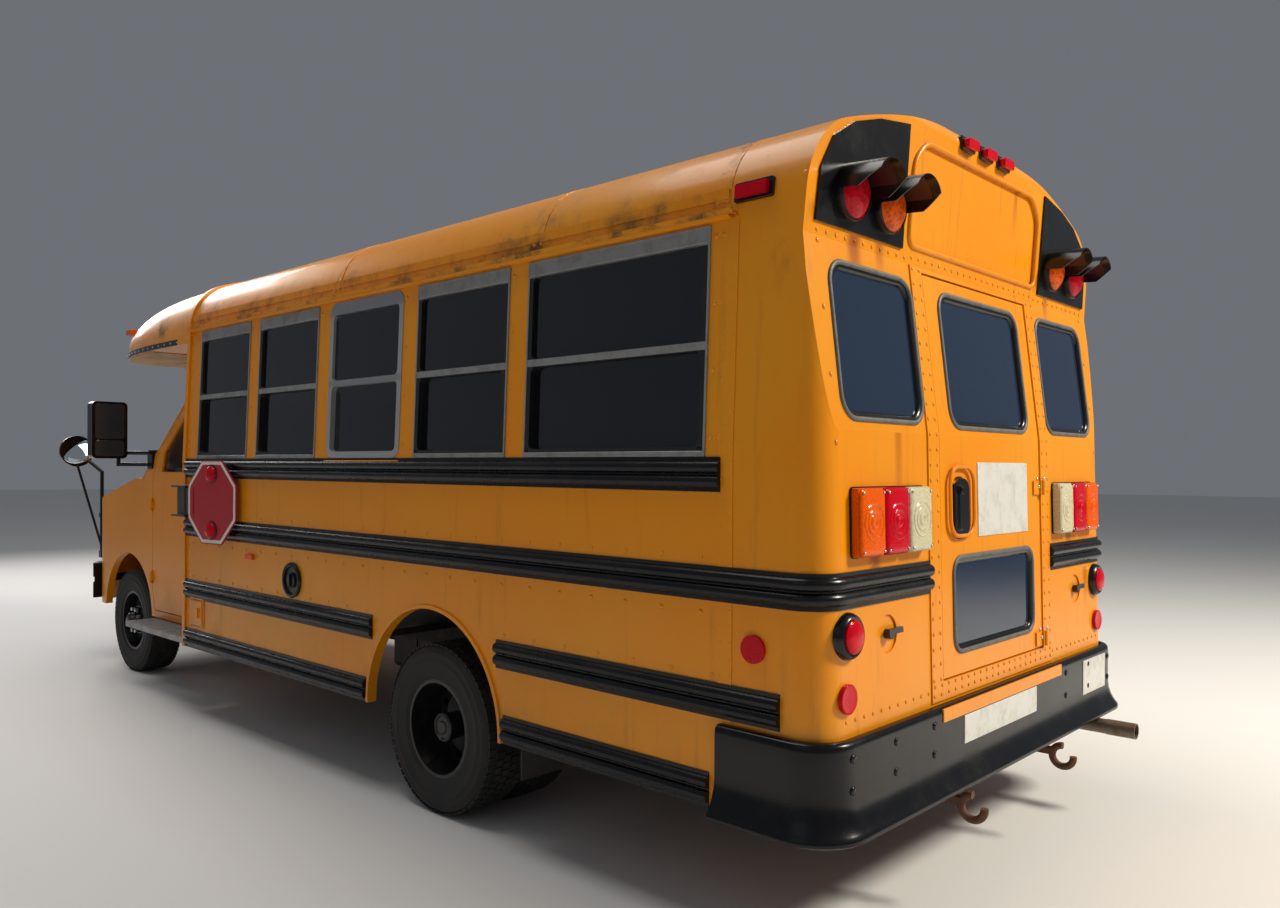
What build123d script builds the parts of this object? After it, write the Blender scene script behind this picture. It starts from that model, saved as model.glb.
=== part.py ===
from build123d import *
import math
import os

# A short school bus: a van cab and chassis that carries a square riveted body.
# Millimetres. X runs forward, Y to the bus's left, Z up from the road. While modelling,
# X is counted from the rear axle; export moves every piece to the middle of the length.

# Driving dimensions: wheels and running gear
WHEELBASE = 4039
TYRE_R = 368
TYRE_W = 223
BEAD_R = 208
REAR_TRACK = 1892
TWIN_PITCH = 266
FRONT_TRACK = 1740
RAIL_Y = 430
KNUCKLE_Y = 700
SPINDLE_R = 36
LOWER_BALL_Z = 304
UPPER_BALL_Z = 490
SPRING_Z = 490
STEER_LIMIT = 35
RAIL_LOW_Z = 520
RAIL_TOP_Z = 690

# Driving dimensions: body
BODY_HALF = 1219
SKIRT_Z = 410
BELT_Z = 1544
GUTTER_Z = 2330
CROWN_Z = 2765
TUMBLE = 0.038
ROOF_CORNER_R = 285
BODY_FRONT = WHEELBASE - 1539
SEAM_X = -1581
REAR_X = -1973
REAR_LEAN = 0.026
REAR_CORNER_R = 110
WALL = 38
FLOOR_Z = 800
FLOOR_T = 40
ARCH_R = 475
ARCH_Z = 415
CREASE_Z = 1620
HEAD_Z = 2215
BROW_Z = 2690
HEAD_X = -1868
BROW_X = -1902

# Driving dimensions: side windows, counted from the front
FIRST_SASH_X = BODY_FRONT - 159
LAST_SASH_X = -621
SASH_PITCH = (FIRST_SASH_X - LAST_SASH_X) / 4
SASH_W = SASH_PITCH - 126.5
LAST_SASH_W = 888
SASH_TOP_Z = 2282
SASH_BAR_Z = 1897

# Driving dimensions: rails, doors and cab
RAIL_H = 112
RAIL_DEPTH = 22
RAIL_BOTTOMS = {"belt": 1424, "seat": 1075, "floor": 704, "skirt": 411}
DOOR_HALF = 447
DOOR_LOW_Z = 767
DOOR_TOP_Z = 2190
STRIP_HALF = 540
LATCH_GAP = 6
REAR_LATCH = (834, 972)
CAB_HALF = 1005
CAB_BACK = BODY_FRONT + 42
CAB_SILL_Z = 450
CAB_BELT_Z = 1380
CAB_TOP_Z = 2240
CAB_TUMBLE = 0.145
CAB_WALL = 30
DOOR_T = 42
SKIN_T = 45
WELL_IN_Y = 540
CAB_FLOOR_Z = 720
SCREEN_BASE = (WHEELBASE - 239, 1400)
SCREEN_TOP = (WHEELBASE - 1114, 2240)
HOOD_BACK = (WHEELBASE - 134, 1402)
HOOD_FRONT = (WHEELBASE + 751, 1200)
NOSE_X = WHEELBASE + 841
FIREWALL_X = WHEELBASE - 199
ENGINE_X = WHEELBASE - 149
GEARBOX_X = WHEELBASE - 789
FRONT_ARCH_R = 440
FRONT_ARCH_Z = 420
CAP_LOW_Z = CAB_TOP_Z
CAP_WALL = 24
CAP_TIP_X = WHEELBASE + 111
HOOP_W = 38
BUMPER_FRONT_X = -1588
BUMPER_LOW_Z = 398
BUMPER_TOP_Z = 690
TAILPIPE_END_X = -2190

# Lamps, mirrors and the stop sign
PANEL_T = 8
LAMP_R = 84
WARNING_LAMPS = [{"y": 955, "z": 2372}, {"y": 722, "z": 2372}]
FRONT_LAMPS_Y = (330, 570)
FRONT_LAMP_X = WHEELBASE + 115
FRONT_LAMP_Z = 2400
BOWL = {"x": WHEELBASE + 861, "y": 1085, "z": 1600, "r": 120, "deep": 66}
CROWN_LAMPS_Z = 2712
STOP_LOW_Z = RAIL_BOTTOMS["seat"] + RAIL_H + 13
STOP_HIGH_Z = RAIL_BOTTOMS["belt"] - 44
STOP_Z = (STOP_LOW_Z + STOP_HIGH_Z) / 2
STOP = {"x": BODY_FRONT - 238, "y": BODY_HALF + 103, "z": STOP_Z, "across": 470, "tilt": -8}
PIN_R = 6
BARREL_R = 9
HINGE_EAR = 15
HOOD_PIVOT = (HOOD_BACK[0] + 7, HOOD_BACK[1])
HOOD_HINGE_Y = 620
CAB_HINGE = (WHEELBASE - 446, CAB_HALF + 10)
CAB_HINGES_Z = (700, 1200)
ENTRY_HINGES_Z = (640, 1980)
SEAT_ROWS_X = [BODY_FRONT - 620 - i * SASH_PITCH for i in range(5)]
WHEEL_HUB = (WHEELBASE - 659, 420, 1330)
COLUMN = (-0.8, 0, 0.6)
STEER_SHAFT_R = 14

# Fits
FIT = 0.3
RUN = 0.05
GAP = 6

CENTRE_X = (BOWL["x"] + BOWL["deep"] + TAILPIPE_END_X) / 2
BASE = (Align.CENTER, Align.CENTER, Align.MIN)
REAR_AXLE_Y = REAR_TRACK / 2
FRONT_AXLE_Y = FRONT_TRACK / 2


def sized(x0, x1, y0, y1, z0, z1):
    """A box between two corners."""
    centre = Pos((x0 + x1) / 2, (y0 + y1) / 2, (z0 + z1) / 2)
    return centre * Box(abs(x1 - x0), abs(y1 - y0), abs(z1 - z0))


def prism_x(outline, x0, x1):
    """An outline of edges in (y, z) run from x0 to x1."""
    face = Plane.YZ.offset(x0) * make_face(outline)
    return extrude(face, amount=x1 - x0, dir=(1, 0, 0))


def prism_y(outline, y0, y1):
    """An outline of edges in (x, z) run from y0 to y1."""
    face = Plane.XZ.offset(-y0) * make_face(outline)
    return extrude(face, amount=y1 - y0, dir=(0, 1, 0))


def prism_z(outline, z0, z1):
    """An outline of edges in (x, y) run from z0 to z1."""
    face = Plane.XY.offset(z0) * make_face(outline)
    return extrude(face, amount=z1 - z0, dir=(0, 0, 1))


def poly(*points):
    """A closed outline of straight edges."""
    return Polyline(*points, close=True).edges()


def rod(axis, at, length, radius):
    """A cylinder that starts at a point and runs along X, Y or Z."""
    turn = {"X": (0, 90, 0), "Y": (-90, 0, 0), "Z": (0, 0, 0)}[axis]
    base = Cylinder(radius, length, align=BASE)
    return Pos(*at) * Rot(*turn) * base


def tube(axis, at, length, radius, bore):
    """A rod with a hole right through it."""
    return rod(axis, at, length, radius) - rod(axis, at, length, bore)


def bar(start, end, radius):
    """A round bar between two points."""
    a = Vector(*start)
    b = Vector(*end)
    plane = Plane(origin=a, z_dir=b - a)
    return plane * Cylinder(radius, (b - a).length, align=BASE)


def hinge_barrel(axis, at, length=40):
    """The moving half of a hinge: a barrel with its pin, starting at a point on its axis."""
    step = Vector({"X": (1, 0, 0), "Y": (0, 1, 0), "Z": (0, 0, 1)}[axis])
    ear = HINGE_EAR + GAP
    pin = rod(axis, tuple(Vector(*at) - step * ear), length + 2 * ear, PIN_R - RUN)
    return rod(axis, at, length, BARREL_R) + pin


def hinge_ears(axis, at, length=40):
    """The fixed half of the same hinge: two bored ears beyond the barrel's ends."""
    step = Vector({"X": (1, 0, 0), "Y": (0, 1, 0), "Z": (0, 0, 1)}[axis])
    low = tuple(Vector(*at) - step * (HINGE_EAR + GAP))
    high = tuple(Vector(*at) + step * (length + GAP))
    ears = tube(axis, low, HINGE_EAR, BARREL_R, PIN_R)
    return ears + tube(axis, high, HINGE_EAR, BARREL_R, PIN_R)


def mirrored(shape):
    """The same shape on the other side of the bus."""
    return mirror(shape, about=Plane.XZ)


def both(shape):
    """A shape and its twin on the other side."""
    return Part() + [shape, mirrored(shape)]


def union(shapes):
    return Part() + list(shapes)


def save(name, shape):
    """Write one node, moved to the middle of the bus's length."""
    placed = Pos(-CENTRE_X, 0, 0) * shape
    export_step(placed, f"parts/{name}.step")


def body_half(z, inset=0):
    """Half width of the body at a height: the walls lean in above the belt."""
    return BODY_HALF - inset - max(0, z - BELT_Z) * TUMBLE


def rear_x(z):
    """Where the rear wall stands at a height."""
    return REAR_X + (z - SKIRT_Z) * REAR_LEAN


def body_outline(inset, low_z):
    """Body section: straight walls, two corner arcs and one wide roof arc."""
    corner_y = body_half(GUTTER_Z) - ROOF_CORNER_R
    drop = GUTTER_Z - CROWN_Z
    top_r = (ROOF_CORNER_R**2 - corner_y**2 - drop**2) / (2 * (drop + ROOF_CORNER_R))
    top_z = CROWN_Z - top_r
    meet = math.atan2(GUTTER_Z - top_z, corner_y)
    r = ROOF_CORNER_R - inset
    big = top_r - inset

    def corner(angle):
        return (corner_y + r * math.cos(angle), GUTTER_Z + r * math.sin(angle))

    low = (body_half(low_z, inset), low_z)
    belt = (body_half(BELT_Z, inset), BELT_Z)
    gutter = corner(0)
    half_arc = corner(meet / 2)
    shoulder = corner(meet)
    crown = (0, top_z + big)

    def left(p):
        return (-p[0], p[1])

    return [
        Line(left(low), low),
        Line(low, belt),
        Line(belt, gutter),
        ThreePointArc(gutter, half_arc, shoulder),
        ThreePointArc(shoulder, crown, left(shoulder)),
        ThreePointArc(left(shoulder), left(half_arc), left(gutter)),
        Line(left(gutter), left(belt)),
        Line(left(belt), left(low)),
    ]


def body_block(inset, x0, x1, low_z):
    return prism_x(body_outline(inset, low_z), x0, x1)


def rear_block(inset, low_z):
    """The rounded rear end as a solid: section, leaning plan and stepped back."""
    block = body_block(inset, REAR_X - 60, SEAM_X, low_z)
    back = REAR_X + inset
    corner_x = back + REAR_CORNER_R - inset
    half = BODY_HALF - inset
    corner_y = half - REAR_CORNER_R + inset
    bend = (REAR_CORNER_R - inset) * math.sqrt(0.5)
    ahead = SEAM_X + 400
    plan = [
        Line((ahead, -half), (ahead, half)),
        Line((ahead, half), (corner_x, half)),
        ThreePointArc((corner_x, half), (corner_x - bend, corner_y + bend), (back, corner_y)),
        Line((back, corner_y), (back, -corner_y)),
        ThreePointArc((back, -corner_y), (corner_x - bend, -corner_y - bend), (corner_x, -half)),
        Line((corner_x, -half), (ahead, -half)),
    ]
    start = Plane.XY.offset(SKIRT_Z) * make_face(plan)
    lean = Vector(REAR_LEAN, 0, 1)
    block &= extrude(start, amount=2600 * lean.length, dir=lean)
    behind = REAR_X - 100
    crease = (rear_x(CREASE_Z) + inset, CREASE_Z)
    neck = (HEAD_X + inset, HEAD_Z)
    brow = (BROW_X + inset, BROW_Z)
    crest = (BROW_X + inset + 60, CROWN_Z - inset)
    mid = (brow[0] + 14, CROWN_Z - inset - 22)
    ahead = (crest[0] + 60, CROWN_Z - inset)
    cut = [
        Line((behind, CREASE_Z), crease),
        Line(crease, neck),
        Line(neck, brow),
        ThreePointArc(brow, mid, crest),
        Line(crest, ahead),
        Line(ahead, (ahead[0], CROWN_Z + 100)),
        Line((ahead[0], CROWN_Z + 100), (behind, CROWN_Z + 100)),
        Line((behind, CROWN_Z + 100), (behind, CREASE_Z)),
    ]
    return block - prism_y(cut, -BODY_HALF - 50, BODY_HALF + 50)


REAR_FACE = Plane(
    origin=(rear_x(0), 0, 0),
    x_dir=(0, -1, 0),
    z_dir=Vector(-1, 0, REAR_LEAN).normalized(),
)
UPPER_SLOPE = (HEAD_X - rear_x(CREASE_Z)) / (HEAD_Z - CREASE_Z)
UPPER_LEN = math.sqrt(1 + UPPER_SLOPE**2)
UPPER_FACE = Plane(
    origin=(rear_x(CREASE_Z), 0, CREASE_Z),
    x_dir=(0, -1, 0),
    z_dir=Vector(-1, 0, UPPER_SLOPE).normalized(),
)
HEAD_SLOPE = (BROW_X - HEAD_X) / (BROW_Z - HEAD_Z)
HEAD_FACE = Plane(
    origin=(HEAD_X, 0, HEAD_Z),
    x_dir=(0, -1, 0),
    z_dir=Vector(-1, 0, HEAD_SLOPE).normalized(),
)
SIDE_LEAN = math.sqrt(1 + TUMBLE**2)
SIDE_GLASS = Plane(
    origin=(0, BODY_HALF, BELT_Z),
    x_dir=(-1, 0, 0),
    z_dir=Vector(0, 1, TUMBLE).normalized(),
)


def panel(width, height, thick, radius=0):
    """A plate from its own plane outwards, its corners rounded if asked."""
    sketch = RectangleRounded(width, height, radius) if radius else Rectangle(width, height)
    return extrude(sketch, amount=thick)


REAR_SOLID = rear_block(0, SKIRT_Z)
REAR_HOLLOW = rear_block(WALL, SKIRT_Z - 50)
REAR_SHELL = REAR_SOLID - REAR_HOLLOW

# Side windows: number from the front, width, and whether the sash is the wide one
SASHES = [
    {"x": FIRST_SASH_X - i * SASH_PITCH, "w": LAST_SASH_W if i == 4 else SASH_W}
    for i in range(5)
]
SASH_H = (SASH_TOP_Z - BELT_Z) * SIDE_LEAN
SASH_BAR = (SASH_BAR_Z - BELT_Z) * SIDE_LEAN
SASH_CORNER = 45
# Entry door on the right: two leaves between the body's front and a post
ENTRY_BACK_X = BODY_FRONT + 80
ENTRY_POST_X = WHEELBASE - 834
ENTRY_Y = -1074
ENTRY_T = 34
ENTRY_LOW_Z = 440
ENTRY_TOP_Z = 2190
ENTRY_PIVOT_Y = ENTRY_Y - ENTRY_T - 18
LEAF_GAP = 16
LEAF_EDGE = 42
LEAF_FOOT = 130
LEAF_HEAD = 70
WELL_Y = -640
STEP_ONE_Z = 430
STEP_TWO_Z = 575


def sash_place(sash, depth):
    """Centre of a side window on the left wall, out by a depth."""
    return SIDE_GLASS * Pos(-(sash["x"] - sash["w"] / 2), SASH_H / 2, depth)


def sash_holes():
    holes = []
    for sash in SASHES:
        hole = panel(sash["w"] + 2 * FIT, SASH_H + 2 * FIT, 3 * WALL, SASH_CORNER)
        holes.append(sash_place(sash, -2 * WALL) * hole)
    return union(holes)


def side_wall():
    """Left wall from the rear seam to the body's front, a sheet box open inside."""
    wall = body_block(0, SEAM_X, BODY_FRONT, SKIRT_Z)
    wall -= body_block(WALL, SEAM_X - 1, BODY_FRONT + 1, SKIRT_Z - 1)
    wall &= sized(SEAM_X, BODY_FRONT, 0, BODY_HALF + 50, SKIRT_Z, GUTTER_Z)
    wall -= rod("Y", (0, BODY_HALF - 200, ARCH_Z), 400, ARCH_R)
    return wall - sash_holes()


def arch_lip():
    """Rolled edge round the wheel opening."""
    ring = tube("Y", (0, BODY_HALF, ARCH_Z), 9, ARCH_R + 16, ARCH_R)
    return ring & sized(-600, 600, BODY_HALF, BODY_HALF + 9, SKIRT_Z, 1000)


def roof():
    shell = body_block(0, SEAM_X, BODY_FRONT, GUTTER_Z)
    shell -= body_block(WALL, SEAM_X - 1, BODY_FRONT + 1, GUTTER_Z - 400)
    return shell & sized(SEAM_X, BODY_FRONT, -1300, 1300, GUTTER_Z, CROWN_Z + 10)


def upper_y(z):
    """Height on the upper rear face, measured up the slope from the crease."""
    return (z - CREASE_Z) * UPPER_LEN


# Rear lights: middle, half width, low and top edge and corner radius, in their own face's frame
SIDE_LIGHT = {"y": 812, "half": 249, "low": upper_y(1667), "top": upper_y(2138), "r": 65}
UPPER_LIGHT = {"y": 0, "half": 335, "low": upper_y(1662), "top": upper_y(2128), "r": 60}
LOWER_LIGHT = {"y": 0, "half": 346, "low": 857, "top": 1172, "r": 48}


def light_plate(light, thick, grow=0, side=1):
    """A rounded plate that fits or overlaps a rear light."""
    tall = light["top"] - light["low"]
    plate = panel(2 * (light["half"] + grow), tall + 2 * grow, thick, light["r"] + grow)
    return Pos(-side * light["y"], light["low"] + tall / 2, 0) * plate


def door_slab(grow, latch_gap, x0, x1):
    """The emergency door's outline as a block through the rear wall."""
    left = DOOR_HALF + grow + latch_gap
    return sized(x0, x1, -DOOR_HALF - grow, left, DOOR_LOW_Z - grow, DOOR_TOP_Z + grow)


def rear_wall():
    """Rear cap with the emergency door's opening and two fixed lights."""
    shell = REAR_SHELL - door_slab(GAP, LATCH_GAP, REAR_X - 50, REAR_X + 250)
    for side in (1, -1):
        shell -= UPPER_FACE * Pos(0, 0, -3 * WALL) * light_plate(SIDE_LIGHT, 6 * WALL, 0, side)
    recess = [(-545, 2285), (545, 2285), (545, 2560), (470, 2640), (-470, 2640), (-545, 2560)]
    tray = HEAD_FACE * Pos(0, -HEAD_Z, -7) * extrude(make_face(poly(*recess)), amount=30)
    for side in (1, -1):
        y, z = REAR_LATCH
        shell -= REAR_FACE * Pos(side * y, z, -12) * Cylinder(62, 30, align=BASE)
        shell += REAR_FACE * Pos(side * y, z, -14) * Cylinder(63, 8, align=BASE)
    return shell - tray


def door_frame_strips():
    """Raised strip round the emergency door, seated on the wall and bent with it."""
    outer = sized(REAR_X - 50, REAR_X + 200, -STRIP_HALF, STRIP_HALF, DOOR_LOW_Z - 70, HEAD_Z - 2)
    proud = Pos(-5, 0, 0) * REAR_SOLID - REAR_SOLID
    return (proud & outer) - door_slab(GAP, LATCH_GAP, REAR_X - 60, REAR_X + 250)


def rail_outline(base_z, root):
    """Rub rail section in (distance out, height): two round ribs on a flat flange."""
    flat = 5
    crest = RAIL_DEPTH
    z = base_z
    return [
        Line((-root, z), (flat, z)),
        Line((flat, z), (flat, z + 12)),
        ThreePointArc((flat, z + 12), (crest, z + 33), (flat, z + 54)),
        Line((flat, z + 54), (flat, z + 58)),
        ThreePointArc((flat, z + 58), (crest, z + 79), (flat, z + 100)),
        Line((flat, z + 100), (flat, z + RAIL_H)),
        Line((flat, z + RAIL_H), (-root, z + RAIL_H)),
        Line((-root, z + RAIL_H), (-root, z)),
    ]


def side_rail(base_z, x0, x1, root=0):
    rail = prism_x(rail_outline(base_z, root), x0, x1)
    return Pos(0, BODY_HALF, 0) * rail


def corner_rail(base_z, end_y):
    """A rail that runs round the rear corner to the door's frame, seated on the cap."""
    centre_x = rear_x(base_z + RAIL_H / 2) + REAR_CORNER_R
    centre_y = BODY_HALF - REAR_CORNER_R
    outline = Plane.XZ * make_face(rail_outline(base_z, 20))
    bend = revolve(Pos(REAR_CORNER_R, 0, 0) * outline, axis=Axis.Z, revolution_arc=90)
    bend = Pos(centre_x, centre_y, 0) * Rot(0, 0, 90) * bend
    side = side_rail(base_z, centre_x, SEAM_X, 20)
    back = prism_x(rail_outline(base_z, 20), end_y, centre_y)
    back = Pos(centre_x - REAR_CORNER_R, 0, 0) * Rot(0, 0, 90) * back
    return union([side, bend, back]) - REAR_SOLID


def rub_rails():
    """All rails of one side; the gaps in the low ones follow the wheel opening."""
    z = RAIL_BOTTOMS
    rails = [
        side_rail(z["belt"], SEAM_X, BODY_FRONT),
        side_rail(z["seat"], SEAM_X, BODY_FRONT),
        side_rail(z["floor"], 446, BODY_FRONT),
        side_rail(z["floor"], -1813, -455),
        side_rail(z["skirt"], 500, BODY_FRONT),
        side_rail(z["skirt"], -1540, -500),
    ]
    return rails


def sash_frame(sash):
    """Aluminium frame: outer flange, header strip and the bar between the sashes."""
    w = sash["w"]
    body = panel(w, SASH_H, WALL, SASH_CORNER)
    flange = Pos(0, 0, WALL) * panel(w + 12, SASH_H + 12, 5, SASH_CORNER + 6)
    edge = 24
    header = 52
    glass_w = w - 2 * edge
    low_h = SASH_BAR - 14 - edge
    top_h = SASH_H - SASH_BAR - 14 - header
    low = Pos(0, -SASH_H / 2 + edge + low_h / 2, -1) * panel(glass_w, low_h, WALL + 10, 25)
    top = Pos(0, SASH_H / 2 - header - top_h / 2, -1) * panel(glass_w, top_h, WALL + 10, 25)
    return sash_place(sash, -WALL) * (body + flange - low - top)


def sash_panes(sash):
    """Two panes of one window, set into their frame's daylight holes."""
    edge = 24
    header = 52
    glass_w = sash["w"] - 2 * edge - 2 * FIT
    low_h = SASH_BAR - 14 - edge - 2 * FIT
    top_h = SASH_H - SASH_BAR - 14 - header - 2 * FIT
    low = Pos(0, -SASH_H / 2 + edge + FIT + low_h / 2, -26) * panel(glass_w, low_h, 5, 25)
    top = Pos(0, SASH_H / 2 - header - FIT - top_h / 2, -14) * panel(glass_w, top_h, 5, 25)
    return sash_place(sash, 0) * (low + top)


def cab_outline(inset, low_z, high_z):
    """Cab section in (y, z): straight below the belt, leaning in above it."""
    half = CAB_HALF - inset
    top = half - (high_z - CAB_BELT_Z) * CAB_TUMBLE
    return poly(
        (-half, low_z),
        (half, low_z),
        (half, CAB_BELT_Z),
        (top, high_z),
        (-top, high_z),
        (-half, CAB_BELT_Z),
    )


def nose_plan(grow):
    """Cab plan in (x, y): parallel sides that round into the nose."""
    half = CAB_HALF + grow
    tip = NOSE_X + grow
    turn = NOSE_X - 400
    cheek = NOSE_X - 140
    return [
        Line((CAB_BACK, -half), (CAB_BACK, half)),
        Line((CAB_BACK, half), (turn, half)),
        ThreePointArc((turn, half), (cheek, 925 + grow), (tip, 660)),
        Line((tip, 660), (tip, -660)),
        ThreePointArc((tip, -660), (cheek, -925 - grow), (turn, -half)),
        Line((turn, -half), (CAB_BACK, -half)),
    ]


def cab_block():
    """The van front as a solid: section, side view and plan crossed."""
    side = poly(
        (CAB_BACK, CAB_SILL_Z),
        (NOSE_X - 60, CAB_SILL_Z),
        (NOSE_X, 640),
        (NOSE_X, 1080),
        (HOOD_FRONT[0] + 62, 1160),
        HOOD_FRONT,
        HOOD_BACK,
        SCREEN_BASE,
        SCREEN_TOP,
        (CAB_BACK, CAB_TOP_Z),
    )
    block = prism_x(cab_outline(0, CAB_SILL_Z, CAB_TOP_Z), CAB_BACK, NOSE_X)
    block &= prism_y(side, -CAB_HALF, CAB_HALF)
    return block & prism_z(nose_plan(0), CAB_SILL_Z, CAB_TOP_Z)


CAB_SOLID = cab_block()
SCREEN_RUN = SCREEN_BASE[0] - SCREEN_TOP[0]
SCREEN_RISE = SCREEN_TOP[1] - SCREEN_BASE[1]
SCREEN_LEN = math.hypot(SCREEN_RUN, SCREEN_RISE)
SCREEN_FACE = Plane(
    origin=((SCREEN_BASE[0] + SCREEN_TOP[0]) / 2, 0, (SCREEN_BASE[1] + SCREEN_TOP[1]) / 2),
    x_dir=(0, 1, 0),
    z_dir=Vector(SCREEN_RISE, 0, SCREEN_RUN).normalized(),
)
SCREEN_W = 1600
SCREEN_H = 990
HOOD_HALF = 860


def from_axle(*points):
    """Cab outlines are drawn from the front axle, so that they move with it."""
    return [(WHEELBASE + x, z) for x, z in points]


DOOR_SHAPE = from_axle((-1414, 500), (-494, 500), (-449, 640), (-449, 1560), (-1114, 2205), (-1414, 2205))
GLASS_SHAPE = from_axle((-1339, 1450), (-569, 1450), (-569, 1585), (-1149, 2140), (-1339, 2140))
QUARTER_SHAPE = from_axle((-749, 1450), (-479, 1450), (-479, 1480), (-749, 1735))
HANDLE_X = WHEELBASE - 1339
LAMP_BOX = (NOSE_X - 240, NOSE_X + 5, 620, 950, 850, 1070)
GRILLE_BOX = (NOSE_X - SKIN_T, NOSE_X + 2, -590, 590, 800, 1070)


def grown(points, by):
    """An outline of straight edges moved outwards."""
    return offset(make_face(poly(*points)), amount=by, kind=Kind.INTERSECTION).edges()


def cab_shell():
    """Hollow van front: sides, pillars, floor, firewall and fenders over open wheel arches."""
    shell = CAB_SOLID
    room = prism_x(cab_outline(CAB_WALL, CAB_FLOOR_Z, CAB_TOP_Z + 20), CAB_BACK - 1, FIREWALL_X)
    behind_glass = poly(
        (CAB_BACK - 1, CAB_FLOOR_Z),
        (FIREWALL_X, CAB_FLOOR_Z),
        (FIREWALL_X, 1300),
        (SCREEN_BASE[0] - 75, SCREEN_BASE[1]),
        (SCREEN_TOP[0] - 75, SCREEN_TOP[1] + 20),
        (CAB_BACK - 1, SCREEN_TOP[1] + 20),
    )
    shell -= room & prism_y(behind_glass, -CAB_HALF, CAB_HALF)
    shell -= sized(CAB_BACK - 1, FIREWALL_X, -930, 930, CAB_SILL_Z - 1, RAIL_TOP_Z)
    bay = prism_z(nose_plan(-SKIN_T), CAB_SILL_Z - 1, 1500)
    shell -= bay & sized(FIREWALL_X + 30, NOSE_X, -CAB_HALF, CAB_HALF, CAB_SILL_Z - 1, 1500)
    well = rod("Y", (WHEELBASE, WELL_IN_Y, FRONT_ARCH_Z), CAB_HALF - WELL_IN_Y + 5, FRONT_ARCH_R)
    shell -= both(well)
    house = rod("Y", (WHEELBASE, WELL_IN_Y - 8, FRONT_ARCH_Z), 952 - WELL_IN_Y, FRONT_ARCH_R + 8)
    house &= sized(FIREWALL_X - 240, FIREWALL_X + 30, 0, CAB_HALF, RAIL_TOP_Z, 1000)
    shell += both(house - well)
    shell -= SCREEN_FACE * Pos(0, 0, -90) * panel(SCREEN_W + 2 * FIT, SCREEN_H + 2 * FIT, 140, 90)
    shell -= sized(FIREWALL_X - 1, FIREWALL_X + 31, -540, 540, CAB_SILL_Z - 1, RAIL_TOP_Z + 2)
    doorway = prism_y(grown(DOOR_SHAPE, GAP), 600, CAB_HALF + 50)
    shell -= doorway - prism_x(cab_outline(DOOR_T + 3, CAB_SILL_Z, CAB_TOP_Z + 20), CAB_BACK - 1, NOSE_X)
    shell -= sized(CAB_BACK - 1, ENTRY_POST_X + 35, -CAB_HALF - 50, WELL_Y, CAB_SILL_Z - 1, CAB_TOP_Z + 50)
    x0, x1, y0, y1, z0, z1 = LAMP_BOX
    shell -= both(sized(x0 - 1, x1, y0 - FIT, y1 + FIT, z0 - FIT, z1 + FIT))
    shell -= both(sized(NOSE_X - 150, NOSE_X + 1, RAIL_Y - 34, RAIL_Y + 34, CAB_SILL_Z - 1, 706))
    x0, x1, y0, y1, z0, z1 = GRILLE_BOX
    shell -= sized(x0 - 1, x1 + 5, y0 - FIT, y1 + FIT, z0 - FIT, z1 + FIT)
    shell -= prism_y(poly(*QUARTER_SHAPE), -CAB_HALF - 50, -600)
    hood_hole = poly(
        (HOOD_BACK[0] + 4, HOOD_BACK[1] - 60),
        (HOOD_FRONT[0] + GAP, HOOD_FRONT[1] - 60),
        (HOOD_FRONT[0] + GAP, HOOD_FRONT[1] + 30),
        (HOOD_BACK[0] + 4, HOOD_BACK[1] + 30),
    )
    shell -= prism_y(hood_hole, -HOOD_HALF - GAP, HOOD_HALF + GAP)
    x, z = HOOD_PIVOT
    y = HOOD_HINGE_Y - 20
    shell -= both(rod("Y", (x, y - GAP, z), 40 + 2 * GAP, BARREL_R + GAP))
    shell += both(hinge_ears("Y", (x, y, z)))
    x, y = CAB_HINGE
    for z in CAB_HINGES_Z:
        shell += hinge_ears("Z", (x, y, z))
        for low in (z - GAP - HINGE_EAR, z + 40 + GAP):
            web = sized(x, x + 22, CAB_HALF - 2, y, low, low + HINGE_EAR)
            shell += web - rod("Z", (x, y, low - 1), HINGE_EAR + 2, PIN_R)
    return shell


def hood():
    """Lid over the engine with a shallow raised centre, hinged at its back edge."""
    t = 24
    lid = poly(
        (HOOD_BACK[0] + 10, HOOD_BACK[1] - 2),
        HOOD_FRONT,
        (HOOD_FRONT[0], HOOD_FRONT[1] - t),
        (HOOD_BACK[0] + 10, HOOD_BACK[1] - 2 - t),
    )
    ridge = poly(
        (HOOD_BACK[0] + 60, HOOD_BACK[1] - 22),
        (HOOD_BACK[0] + 90, HOOD_BACK[1] - 8),
        (HOOD_FRONT[0] - 60, HOOD_FRONT[1] + 26),
        (HOOD_FRONT[0] - 20, HOOD_FRONT[1] - 6),
    )
    cover = prism_y(lid, -HOOD_HALF, HOOD_HALF) + prism_y(ridge, -430, 430)
    x, z = HOOD_PIVOT
    y = HOOD_HINGE_Y - 20
    cover -= both(rod("Y", (x, y - 27, z), 94, BARREL_R + GAP))
    return cover + both(hinge_barrel("Y", (x, y, z)) + sized(x, x + 22, y, y + 40, z - 26, z - 4))


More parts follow.
